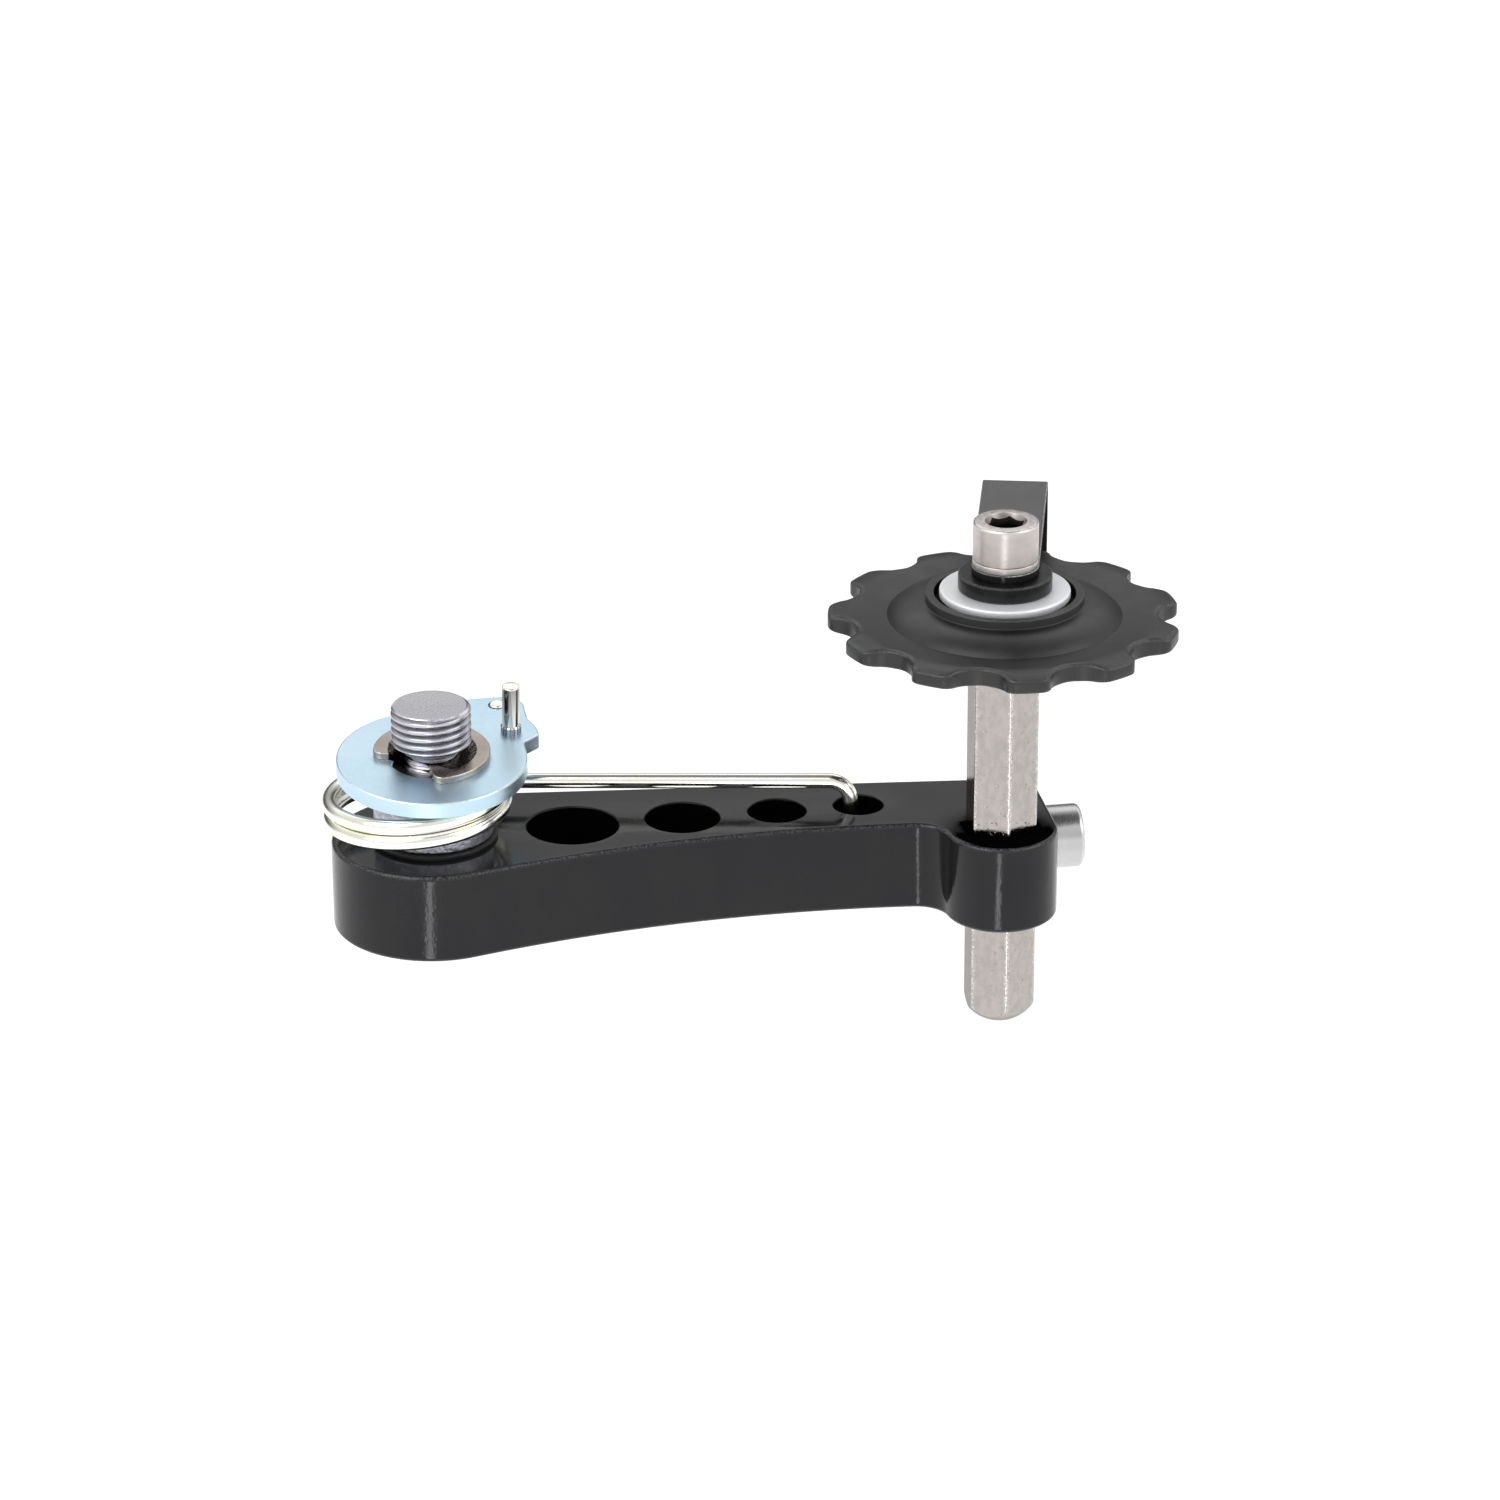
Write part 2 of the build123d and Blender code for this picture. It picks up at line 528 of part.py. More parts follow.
def make_chain_guide():
    thick = GUIDE_THICKNESS
    inner_face = TIP_RADIUS + GUIDE_CHAIN_GAP
    outer_face = inner_face + thick
    outer_bend = GUIDE_BEND + thick
    flat_end = outer_face - outer_bend
    flat = Pos(flat_end / 2, 0, thick / 2) * Box(flat_end, GUIDE_WIDTH, thick)
    flat += rod(GUIDE_WIDTH / 2, 0, thick)
    bend_axis = Pos(flat_end, 0, thick - outer_bend) * Rot(90, 0, 0)
    bend = bend_axis * ring(outer_bend, GUIDE_BEND, -GUIDE_WIDTH / 2, GUIDE_WIDTH / 2)
    bend &= Pos(flat_end + outer_bend / 2, 0, thick - outer_bend / 2) * Box(outer_bend, GUIDE_WIDTH, outer_bend)
    leg_top = thick - outer_bend
    leg_length = GUIDE_DROP + leg_top
    leg = Pos(outer_face - thick / 2, 0, leg_top - leg_length / 2) * Box(thick, GUIDE_WIDTH, leg_length)
    ends = leg.edges().filter_by(Axis.X).group_by(Axis.Z)[0]
    leg = fillet(ends, GUIDE_CORNER)
    body = flat + bend + leg - rod(bolt_bore, 0, thick)
    return axle_frame * Pos(0, 0, guide_z) * Rot(0, 0, GUIDE_DIRECTION) * body


def make_lock_washer():
    body = ring(LOCK_RADIUS, bolt_bore, 0, LOCK_THICKNESS)
    split = Rot(LOCK_SPLIT_SLANT, 0, 0) * Box(LOCK_RADIUS, LOCK_SPLIT, 3 * LOCK_THICKNESS)
    body -= Pos(LOCK_RADIUS / 2, 0, LOCK_THICKNESS / 2) * split
    return axle_frame * Pos(0, 0, lock_z) * Rot(0, 0, LOCK_SPLIT_DIRECTION) * body


def make_pulley_bolt():
    bolt = cap_screw(PULLEY_BOLT_RADIUS, bolt_length(), PULLEY_HEAD_RADIUS, PULLEY_HEAD_HEIGHT,
                     PULLEY_SOCKET, PULLEY_SOCKET_DEPTH, PULLEY_EDGE)
    return axle_frame * Pos(0, 0, pulley_head_z) * bolt


pieces = {
    "hanger_bolt": make_hanger_bolt(),
    "e_clip": make_e_clip(),
    "stop_plate": make_stop_plate(),
    "stop_pin": make_stop_pin(),
    "torsion_spring": make_torsion_spring(),
    "spring_sleeve": make_spring_sleeve(),
    "upper_bush": make_upper_bush(),
    "lower_bush": make_lower_bush(),
    "arm": make_arm(),
    "clamp_screw": make_clamp_screw(),
    "hex_axle": make_hex_axle(),
    "lower_spacer": spacer(axle_top_z),
    "lower_dust_cap": make_lower_dust_cap(),
    "pulley_bush": make_pulley_bush(),
    "pulley_wheel": make_pulley_wheel(),
    "upper_dust_cap": make_upper_dust_cap(),
    "upper_spacer": spacer(upper_spacer_z),
    "chain_guide": make_chain_guide(),
    "lock_washer": make_lock_washer(),
    "pulley_bolt": make_pulley_bolt(),
}

os.makedirs("parts", exist_ok=True)
for name, shape in pieces.items():
    export_step(shape, f"parts/{name}.step")
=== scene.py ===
"""Looks of the sprung chain tensioner: fine meshes, finishes, studio and camera.

Lengths are millimetres in the shared frame: +Z up the hanger thread, +X along the arm.
"""

import logging
from dataclasses import dataclass, field
from enum import Enum
from functools import lru_cache
from math import acos, asin, atan2, cos, hypot, pi, radians, sin, sqrt, tan
from typing import Callable, Iterable, Sequence, Union

import bmesh
import bpy
from mathutils import Matrix, Vector
from mathutils.kdtree import KDTree


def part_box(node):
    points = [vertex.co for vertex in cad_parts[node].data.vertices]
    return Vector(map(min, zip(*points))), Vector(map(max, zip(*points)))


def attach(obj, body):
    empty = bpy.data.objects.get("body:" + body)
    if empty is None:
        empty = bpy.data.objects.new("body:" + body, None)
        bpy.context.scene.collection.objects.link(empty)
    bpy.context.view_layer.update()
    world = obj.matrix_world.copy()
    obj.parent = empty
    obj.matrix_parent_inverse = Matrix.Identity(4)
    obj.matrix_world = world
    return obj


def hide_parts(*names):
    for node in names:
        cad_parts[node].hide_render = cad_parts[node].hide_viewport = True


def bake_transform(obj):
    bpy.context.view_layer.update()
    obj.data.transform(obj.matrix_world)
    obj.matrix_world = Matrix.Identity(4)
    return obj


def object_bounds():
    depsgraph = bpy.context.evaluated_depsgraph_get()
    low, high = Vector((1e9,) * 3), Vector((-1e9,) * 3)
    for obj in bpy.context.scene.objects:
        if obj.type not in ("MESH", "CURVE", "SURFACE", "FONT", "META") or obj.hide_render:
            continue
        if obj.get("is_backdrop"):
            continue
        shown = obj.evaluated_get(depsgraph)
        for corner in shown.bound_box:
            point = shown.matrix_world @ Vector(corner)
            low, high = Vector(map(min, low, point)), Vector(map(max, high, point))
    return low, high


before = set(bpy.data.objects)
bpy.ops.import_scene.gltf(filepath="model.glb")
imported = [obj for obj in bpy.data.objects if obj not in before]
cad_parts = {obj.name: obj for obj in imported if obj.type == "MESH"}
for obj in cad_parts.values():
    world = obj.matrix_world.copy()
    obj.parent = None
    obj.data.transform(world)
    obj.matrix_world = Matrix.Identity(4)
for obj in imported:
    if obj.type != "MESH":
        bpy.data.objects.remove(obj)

LOG = logging.getLogger("tensioner")
MM = 0.001
# Name of the weight on a mesh's points: above zero it is wear on rubbed edges, below zero it is painted
# shade
WEAR_AND_SHADE = "wear_and_shade"
WALL = "wall"
# Upright direction, and the placement of the shared frame itself
UP = Vector((0, 0, 1))
ORIGIN = Matrix.Identity(4)
# Points nearer to each other than this are one point
MERGE = 0.0005 * MM
# Full range of a share, the middle range of a noise and the wider one that sets roughness
UNIT = (0.0, 1.0)
CLOUD_SPREAD = (0.35, 0.65)
ROUGH_SPREAD = (0.3, 0.7)
# Numbers of the colour sockets of a mix node
MIX_FIRST = 6
MIX_SECOND = 7
MIX_RESULT = 2
# Wear weights of the painted shade at a foot and of full painted shade
FOOT_SHADE = -0.6
BLACK = -1.0
# Least angles of a crease in degrees, for most pieces and for softly bent ones
CREASE = 32.0
SOFT_CREASE = 40.0
# Weighting of large faces in the normals, where 50 is neutral
NORMAL_WEIGHT = 75
# Least rise of the normal at the edge of a flat side, on its faces and on an exactly level face
NEAR_FLAT = 0.95
FLAT = 0.999
LEVEL = 0.9999
# Least angle between the faces at a sharp edge, in radians
SHARP = 1.0
# Cuts on each side of the middle of a fading place
SCORE_STEPS = 8
# Least turn of an outline's corner in degrees, most of a side that its rounding takes, and its steps
CORNER_TURN = 25
CORNER_SHARE = 0.45
CORNER_STEPS = 5
# Spacing of the places that the skin of a wire is measured by
STATION_STEP = 0.3
# Wear on the far edges of a strip, and the shade of its underside
STRIP_FAR_RUB = 0.35
STRIP_SHADE = -0.9
# Colour of full painted shade, as in the depth of a hollow
SHADE_BLACK = (0.0015, 0.0015, 0.0015)
# Radius of a socket's countersunk mouth to its width across flats, and the fall of its cone
SOCKET_MOUTH = 0.645
SOCKET_SLOPE = 0.9
# Rounding at the cut ends of the spring's wire
WIRE_END = 0.3

Colour = tuple[float, float, float]
Triple = tuple[float, float, float]
Socket = bpy.types.NodeSocket
Piece = bpy.types.Object
Polar = Callable[[float], float]
Radius = Union[float, Polar]


class Body(Enum):
    """Rigid bodies that the pieces ride on."""

    BOLT = "hanger_bolt"
    PLATE = "stop_plate"
    ARM = "arm"
    AXLE = "axle"
    PULLEY = "pulley"
    GUIDE = "chain_guide"
    SCREW = "clamp_screw"


class Slot(Enum):
    """Material slots of the record, listed for the pieces."""

    BOLT = "bolt_steel"
    CLIP = "clip_steel"
    PLATE = "blue_zinc"
    PIN = "nickel"
    SPRING = "yellow_zinc"
    SLEEVE = "sleeve_zinc"
    NYLON = "black_nylon"
    ARM = "black_anodised"
    SCREW = "screw_steel"
    HEX = "nickel_hex"
    SPACER = "black_spacer"
    CAP = "cap_zinc"
    WHEEL = "black_plastic"
    GUIDE = "black_strip"


class ShaderSheet:
    """Lays out the nodes of one material, with positions in millimetres."""

    def __init__(self, name: str) -> None:
        """Start a material with its own surface shader.

        Args:
            name: Name of the material.
        """
        self.material = bpy.data.materials.new(name)
        self.material.use_nodes = True
        self.tree = self.material.node_tree
        self.surface = self.tree.nodes["Principled BSDF"]
        self.position = self.add("ShaderNodeTexCoord").outputs["Object"]

    def add(self, kind: str) -> bpy.types.Node:
        """Return a new node of one kind."""
        return self.tree.nodes.new(kind)

    def set(self, **values: object) -> None:
        """Set constants on the surface shader, with spaces written as underscores."""
        for key, value in values.items():
            self.surface.inputs[key.replace("_", " ")].default_value = value

    def feed(self, socket: Socket, key: str) -> None:
        """Link a socket to an input of the surface shader."""
        self.tree.links.new(socket, self.surface.inputs[key])

    def noise(self, per_mm: Triple, detail: float = 2.0) -> Socket:
        """Noise with so many cells to the millimetre along each axis.

        Args:
            per_mm: Cells per millimetre along X, Y and Z.
            detail: Octaves of the noise.

        Returns:
            The noise value, from 0 to 1 about 0.5.
        """
        mapping = self.add("ShaderNodeMapping")
        mapping.inputs["Scale"].default_value = tuple(value / MM for value in per_mm)
        self.tree.links.new(self.position, mapping.inputs["Vector"])
        texture = self.add("ShaderNodeTexNoise")
        texture.inputs["Scale"].default_value = 1.0
        texture.inputs["Detail"].default_value = detail
        self.tree.links.new(mapping.outputs["Vector"], texture.inputs["Vector"])
        return texture.outputs["Fac"]

    def weight(self, name: str) -> Socket:
        """A weight that a mesh carries on its points.

        Args:
            name: Name of the weight.

        Returns:
            Its value.
        """
        attribute = self.add("ShaderNodeAttribute")
        attribute.attribute_name = name
        return attribute.outputs["Fac"]

    def bare(self) -> Socket:
        """How far an edge is rubbed, from 0 to 1."""
        return self.remap(self.weight(WEAR_AND_SHADE), UNIT, UNIT)

    def shaded(self) -> Socket:
        """How far painted shade darkens a point, from 0 to 1, where the wear weight is below zero."""
        return self.remap(self.weight(WEAR_AND_SHADE), (BLACK, 0.0), (1.0, 0.0))

    def spread(self, noise: Socket) -> Socket:
        """Spread the middle values of a noise over a share from 0 to 1."""
        return self.remap(noise, CLOUD_SPREAD, UNIT)

    def remap(self, value: Socket, source: tuple[float, float],
              target: tuple[float, float]) -> Socket:
        """Map a range of values to another one, clamped.

        Args:
            value: The value to map.
            source: Range that is read.
            target: Range that is given.

        Returns:
            The mapped value.
        """
        node = self.add("ShaderNodeMapRange")
        for key, number in zip(("From Min", "From Max", "To Min", "To Max"), (*source, *target)):
            node.inputs[key].default_value = number
        self.tree.links.new(value, node.inputs["Value"])
        return node.outputs["Result"]

    def reckon(self, operation: str, first: Socket,
               second: Socket) -> Socket:
        """Return the result of one sum on two values.

        Args:
            operation: Kind of sum.
            first: First value.
            second: Second value.

        Returns:
            The result.
        """
        node = self.add("ShaderNodeMath")
        node.operation = operation
        self.tree.links.new(first, node.inputs[0])
        self.tree.links.new(second, node.inputs[1])
        return node.outputs[0]

    def times(self, first: Socket, second: Socket) -> Socket:
        """Return the product of two values."""
        return self.reckon("MULTIPLY", first, second)

    def mixed(self, share: Socket, first: Union[Colour, Socket],
              second: Union[Colour, Socket]) -> Socket:
        """Mix two colours.

        Args:
            share: Share of the second colour.
            first: A colour or a colour socket.
            second: A colour or a colour socket.

        Returns:
            The mixed colour.
        """
        node = self.add("ShaderNodeMix")
        node.data_type = "RGBA"
        self.tree.links.new(share, node.inputs[0])
        for place, colour in ((MIX_FIRST, first), (MIX_SECOND, second)):
            if isinstance(colour, tuple):
                node.inputs[place].default_value = (*colour, 1.0)
            else:
                self.tree.links.new(colour, node.inputs[place])
        return node.outputs[MIX_RESULT]

    def bump(self, layers: Iterable[tuple[Socket, float]]) -> None:
        """Stack height fields on the surface normal.

        Args:
            layers: Height fields with their depth in millimetres.
        """
        normal = None
        for height, depth in layers:
            node = self.add("ShaderNodeBump")
            node.inputs["Strength"].default_value = 1.0
            node.inputs["Distance"].default_value = depth * MM
            self.tree.links.new(height, node.inputs["Height"])
            if normal is not None:
                self.tree.links.new(normal, node.inputs["Normal"])
            normal = node.outputs["Normal"]
        self.feed(normal, "Normal")


@dataclass(frozen=True)
class Plating:
    """Plated, drawn or turned steel: two tints, grain, pits, bright edges and painted shade."""

    name: str
    tint: Colour
    second: Colour
    edge: Colour
    cloud: Triple = (0.25, 0.25, 0.25)
    smooth: float = 0.2
    rough: float = 0.35
    grain: Triple = (6.0, 6.0, 6.0)
    grain_depth: float = 0.004
    pits: Triple = (2.2, 2.2, 2.2)
    pit_depth: float = 0.0
    pit_edge: float = 0.6
    grime_and_shade: Colour = (0.022, 0.016, 0.013)
    metal: float = 1.0
    skim: Colour = (1.0, 1.0, 1.0)
    patchy: float = 0.36
    patch_fall: float = 0.15
    patch_least: float = 0.1
    pit_fall: float = 0.16
    pit_grime: float = 0.45

    @lru_cache(maxsize=None)
    def material(self) -> bpy.types.Material:
        """Return the material of this plating; wear below zero is painted shade in the grime colour, which
        also fills the pits.
        """
        sheet = ShaderSheet(self.name)
        clouds = sheet.spread(sheet.noise(self.cloud, detail=3.0))
        colour = sheet.mixed(clouds, self.tint, self.second)
        fine = sheet.noise(self.grain, detail=4.0)
        layers = [(fine, self.grain_depth)]
        if self.pit_depth > 0:
            pit_range = (self.pit_edge, self.pit_edge + self.pit_fall)
            pits = sheet.remap(sheet.noise(self.pits), pit_range, (1.0, 0.0))
            layers.append((pits, self.pit_depth))
            colour = sheet.mixed(sheet.remap(pits, UNIT, (self.pit_grime, 0.0)), colour, self.grime_and_shade)
        patch = (self.patchy, self.patchy + self.patch_fall)
        worn = sheet.times(sheet.bare(), sheet.remap(fine, patch, (self.patch_least, 1.0)))
        colour = sheet.mixed(worn, colour, self.edge)
        sheet.feed(sheet.mixed(sheet.shaded(), colour, self.grime_and_shade), "Base Color")
        sheet.set(Metallic=self.metal, Specular_Tint=(*self.skim, 1.0))
        sheet.feed(sheet.remap(fine, ROUGH_SPREAD, (self.smooth, self.rough)), "Roughness")
        sheet.bump(layers)
        return sheet.material


@dataclass(frozen=True)
class Moulding:
    """Moulded plastic or coated sheet: a dark tint, fine grain and rubbed edges."""

    name: str
    tint: Colour
    second: Colour
    edge: Colour
    smooth: float = 0.4
    rough: float = 0.55
    grain: Triple = (9.0, 9.0, 9.0)
    grain_depth: float = 0.006
    gloss: float = 0.5
    shade_gloss: float = 0.02
    cloud: Triple = (0.3, 0.3, 0.3)
    patch: tuple[float, float] = (0.4, 0.65)

    @lru_cache(maxsize=None)
    def material(self) -> bpy.types.Material:
        """Return the material of this moulding; wear below zero is painted shade, dark and with little
        gloss.
        """
        sheet = ShaderSheet(self.name)
        clouds = sheet.spread(sheet.noise(self.cloud, detail=4.0))
        fine = sheet.noise(self.grain, detail=3.0)
        worn = sheet.times(sheet.bare(), sheet.remap(fine, self.patch, UNIT))
        colour = sheet.mixed(worn, sheet.mixed(clouds, self.tint, self.second), self.edge)
        shaded = sheet.shaded()
        sheet.feed(sheet.mixed(shaded, colour, SHADE_BLACK), "Base Color")
        sheet.feed(sheet.remap(shaded, UNIT, (self.gloss, self.shade_gloss)), "Specular IOR Level")
        sheet.feed(sheet.remap(clouds, UNIT, (self.smooth, self.rough)), "Roughness")
        sheet.bump([(fine, self.grain_depth)])
        return sheet.material


@dataclass(frozen=True)
class Anodising:
    """Gloss black anodised aluminium, with softly rubbed edges."""

    name: str
    tint: Colour
    second: Colour
    rubbed: Colour
    smooth: float = 0.1
    rough: float = 0.17
    gloss: float = 0.35
    wave: Triple = (0.16, 0.16, 0.1)
    wave_depth: float = 0.012
    grain: Triple = (5.0, 5.0, 2.5)
    grain_depth: float = 0.0012
    peel: Triple = (2.4, 2.4, 1.5)
    peel_depth: float = 0.016
    patch: tuple[float, float] = (0.4, 0.62)
    patch_least: float = 0.1
    skim: Colour = (0.94, 0.95, 1.0)

    @lru_cache(maxsize=None)
    def material(self) -> bpy.types.Material:
        """Return the material of this anodising; wear below zero is painted shade, dark and without gloss.
        """
        sheet = ShaderSheet(self.name)
        fine = sheet.noise(self.grain, detail=3.0)
        broad = sheet.noise(self.wave)
        clouds = sheet.spread(broad)
        rub = sheet.times(sheet.bare(), sheet.remap(fine, self.patch, (self.patch_least, 1.0)))
        colour = sheet.mixed(rub, sheet.mixed(clouds, self.tint, self.second), self.rubbed)
        shaded = sheet.shaded()
        sheet.feed(sheet.mixed(shaded, colour, SHADE_BLACK), "Base Color")
        sheet.feed(sheet.remap(shaded, UNIT, (self.gloss, 0.0)), "Specular IOR Level")
        sheet.set(Specular_Tint=(*self.skim, 1.0))
        sheet.feed(sheet.remap(broad, ROUGH_SPREAD, (self.smooth, self.rough)), "Roughness")
        peel = sheet.times(sheet.weight(WALL), sheet.noise(self.peel))
        sheet.bump([(broad, self.wave_depth), (fine, self.grain_depth), (peel, self.peel_depth)])
        return sheet.material


BOLT_STEEL = Plating("bolt_steel", (0.52, 0.51, 0.55), (0.44, 0.43, 0.46), (0.80, 0.79, 0.84),
                     smooth=0.18, rough=0.34, grain=(9.0, 9.0, 14.0), grain_depth=0.006)
CLIP_STEEL = Plating("clip_steel", (0.40, 0.35, 0.31), (0.31, 0.275, 0.245), (0.70, 0.65, 0.60),
                     smooth=0.18, rough=0.32, grain_depth=0.005)
BLUE_ZINC = Plating("blue_zinc", (0.565, 0.75, 0.87), (0.615, 0.79, 0.90), (0.84, 0.94, 0.98),
                    cloud=(0.12, 0.12, 0.12), smooth=0.3, rough=0.42, grain=(3.0, 3.0, 3.0),
                    grain_depth=0.001)
NICKEL = Plating("bright_nickel", (0.82, 0.81, 0.77), (0.76, 0.74, 0.70), (0.92, 0.92, 0.90),
                 smooth=0.05, rough=0.12, grain_depth=0.001)
COLLAR_STEEL = Plating("collar_steel", (0.46, 0.44, 0.48), (0.38, 0.36, 0.40), (0.88, 0.88, 0.90),
                       smooth=0.12, rough=0.25, grain_depth=0.002)
YELLOW_ZINC = Plating("yellow_zinc", (0.93, 0.92, 0.80), (0.97, 0.97, 0.93), (0.98, 0.98, 0.95),
                      cloud=(0.2, 0.2, 0.5), smooth=0.1, rough=0.2, grain_depth=0.002)
SLEEVE_ZINC = Plating("sleeve_zinc", (0.78, 0.79, 0.88), (0.52, 0.53, 0.61), (0.85, 0.86, 0.90),
                      cloud=(1.2, 1.2, 1.2), smooth=0.25, rough=0.45, grain=(2.6, 2.6, 2.6),
                      grain_depth=0.09)
SCREW_STEEL = Plating("screw_steel", (0.60, 0.55, 0.525), (0.54, 0.50, 0.475), (0.84, 0.81, 0.79),
                      cloud=(0.4, 0.4, 1.2), smooth=0.28, rough=0.4, grain=(1.6, 1.6, 9.0),
                      grain_depth=0.009)
CLAMP_STEEL = Plating("clamp_steel", (0.575, 0.575, 0.58), (0.52, 0.52, 0.53), (0.74, 0.74, 0.75),
                      smooth=0.22, rough=0.28, grain=(6.0, 1.2, 1.2), grain_depth=0.001)
HEX_NICKEL = Plating("hex_nickel", (0.50, 0.455, 0.435), (0.42, 0.395, 0.37), (0.90, 0.88, 0.85),
                     cloud=(1.2, 1.2, 0.8), smooth=0.06, rough=0.14, grain=(5.0, 5.0, 3.0),
                     grain_depth=0.014, pits=(1.9, 1.9, 1.5), pit_depth=0.03, pit_edge=0.64,
                     skim=(0.55, 0.55, 0.55), patchy=0.5)
CAP_ZINC = Plating("cap_zinc", (0.84, 0.85, 0.88), (0.88, 0.89, 0.91), (0.95, 0.95, 0.96),
                   smooth=0.45, rough=0.55, grain_depth=0.003, metal=0.5)
BEARING_STEEL = Plating("bearing_steel", (0.55, 0.55, 0.56), (0.48, 0.48, 0.49), (0.8, 0.8, 0.8))
ARM_BLACK = Anodising("black_anodised", (0.0075, 0.0075, 0.0085), (0.011, 0.0105, 0.010),
                      (0.075, 0.075, 0.08))
WHEEL_PLASTIC = Moulding("wheel_plastic", (0.005, 0.005, 0.0053), (0.008, 0.008, 0.0084),
                         (0.08, 0.08, 0.085), smooth=0.36, rough=0.44, gloss=0.64)
SPACER_PLASTIC = Moulding("spacer_plastic", (0.004, 0.004, 0.0045), (0.007, 0.007, 0.0075),
                          (0.10, 0.10, 0.10), smooth=0.25, rough=0.38, gloss=0.3)
NYLON = Moulding("black_nylon", (0.006, 0.006, 0.007), (0.009, 0.009, 0.010), (0.02, 0.02, 0.02))
GUIDE_BLACK = Moulding("guide_black", (0.078, 0.078, 0.080), (0.092, 0.092, 0.094), (0.75, 0.75, 0.75),
                       smooth=0.45, rough=0.52, grain=(6.0, 6.0, 6.0), grain_depth=0.006)

Finish = Union[Plating, Moulding, Anodising]


@dataclass(frozen=True)
class Row:
    """One ring of a turned skin: its radius, height and wear weight, which below zero is painted shade."""

    radius: Radius
    height: Radius
    wear_and_shade: Radius = 0.0

    def at(self, angle: float) -> float:
        """Radius of the ring at one angle."""
        return self.radius(angle) if callable(self.radius) else self.radius

    def level(self, angle: float) -> float:
        """Height of the ring at one angle."""
        return self.height(angle) if callable(self.height) else self.height

    def rub(self, angle: float) -> float:
        """Wear weight of the ring at one angle; below zero it is painted shade."""
        return self.wear_and_shade(angle) if callable(self.wear_and_shade) else self.wear_and_shade

    def point(self, angle: float) -> Triple:
        """Point of the ring at one angle."""
        return self.at(angle) * cos(angle), self.at(angle) * sin(angle), self.level(angle)


@dataclass
class Draft:
    """Points, wear weights and faces of a mesh that is being made; a wear weight below zero is painted
    shade.
    """

    points: list[Vector] = field(default_factory=list)
    wear_and_shade: list[float] = field(default_factory=list)
    faces: list[list[int]] = field(default_factory=list)

    def add(self, point: Sequence[float], wear_and_shade: float = 0.0) -> int:
        """Add a point.

        Args:
            point: The point.
            wear_and_shade: Its wear weight; below zero it is painted shade.

        Returns:
            The number of the point.
        """
        self.points.append(Vector(point))
        self.wear_and_shade.append(wear_and_shade)
        return len(self.points) - 1

    def bridge(self, first: list[int], second: list[int], round_trip: bool = True) -> None:
        """Span two rings with faces; a ring of one point is a pole.

        Args:
            first: Point numbers of one ring.
            second: Point numbers of the other ring.
            round_trip: Whether the rings close on themselves.
        """
        count = max(len(first), len(second))
        for step in range(count if round_trip else count - 1):
            after = (step + 1) % count
            loop = [first[step % len(first)], first[after % len(first)],
                    second[after % len(second)], second[step % len(second)]]
            self.faces.append(list(dict.fromkeys(loop)))

    def turned(self, rows: Sequence[Row], sides: int = 96, closed: bool = False,
               arc: tuple[float, float] = (0.0, 2 * pi)) -> "Draft":
        """Add a skin of rings about the Z axis.

        Args:
            rows: Rings in order along the section.
            sides: Points on each ring.
            closed: Whether the section closes on itself.
            arc: First and last angle; less than a full turn leaves capped ends.

        Returns:
            This draft.
        """
        whole = arc[1] - arc[0] > 2 * pi - 1e-6
        count = sides if whole else sides + 1
        angles = [arc[0] + (arc[1] - arc[0]) * step / sides for step in range(count)]
        rings = []
        for row in rows:
            pole = not callable(row.radius) and row.radius == 0
            around = angles[:1] if pole else angles
            rings.append([self.add(row.point(angle), row.rub(angle)) for angle in around])
        pairs = list(zip(rings, rings[1:]))
        if closed:
            pairs.append((rings[-1], rings[0]))
        for first, second in pairs:
            self.bridge(first, second, whole)
        if not whole:
            self.faces.append([ring[0] for ring in rings])
            self.faces.append([ring[-1] for ring in reversed(rings)])
        return self

    def loft(self, rings: Sequence[Sequence[tuple[Vector, float]]]) -> "Draft":
        """Add a skin through closed rings of points, capped at both ends.

        Args:
            rings: Rings of points with their wear weights, which below zero are painted shade.

        Returns:
            This draft.
        """
        numbers = [[self.add(point, wear_and_shade) for point, wear_and_shade in ring] for ring in rings]
        for first, second in zip(numbers, numbers[1:]):
            self.bridge(first, second)
        self.faces.append(list(reversed(numbers[0])))
        self.faces.append(numbers[-1])
        return self


def bow(start: Vector, corner: Vector, stop: Vector, share: float) -> Vector:
    """Point at one share of the curve that rounds a corner."""
    return start * (1 - share) ** 2 + corner * 2 * share * (1 - share) + stop * share ** 2


def section(*corners: tuple[float, float, float], steps: int = 4) -> list[Row]:
    """Rows along a section whose corners are rounded.

    Args:
        corners: Radius, height and rounding of each corner.
        steps: Rows to a rounded corner.

    Returns:
        The rows in order.
    """
    rows: list[Row] = []
    for place, (radius, height, rounding) in enumerate(corners):
        if rounding == 0 or place in (0, len(corners) - 1):
            rows.append(Row(radius, height))
            continue
        here = Vector((radius, height))
        before = Vector(corners[place - 1][:2])
        after = Vector(corners[place + 1][:2])
        start = here + (before - here).normalized() * rounding
        stop = here + (after - here).normalized() * rounding
        for step in range(steps + 1):
            point = bow(start, here, stop, step / steps)
            rows.append(Row(point.x, point.y, sin(pi * step / steps)))
    return rows


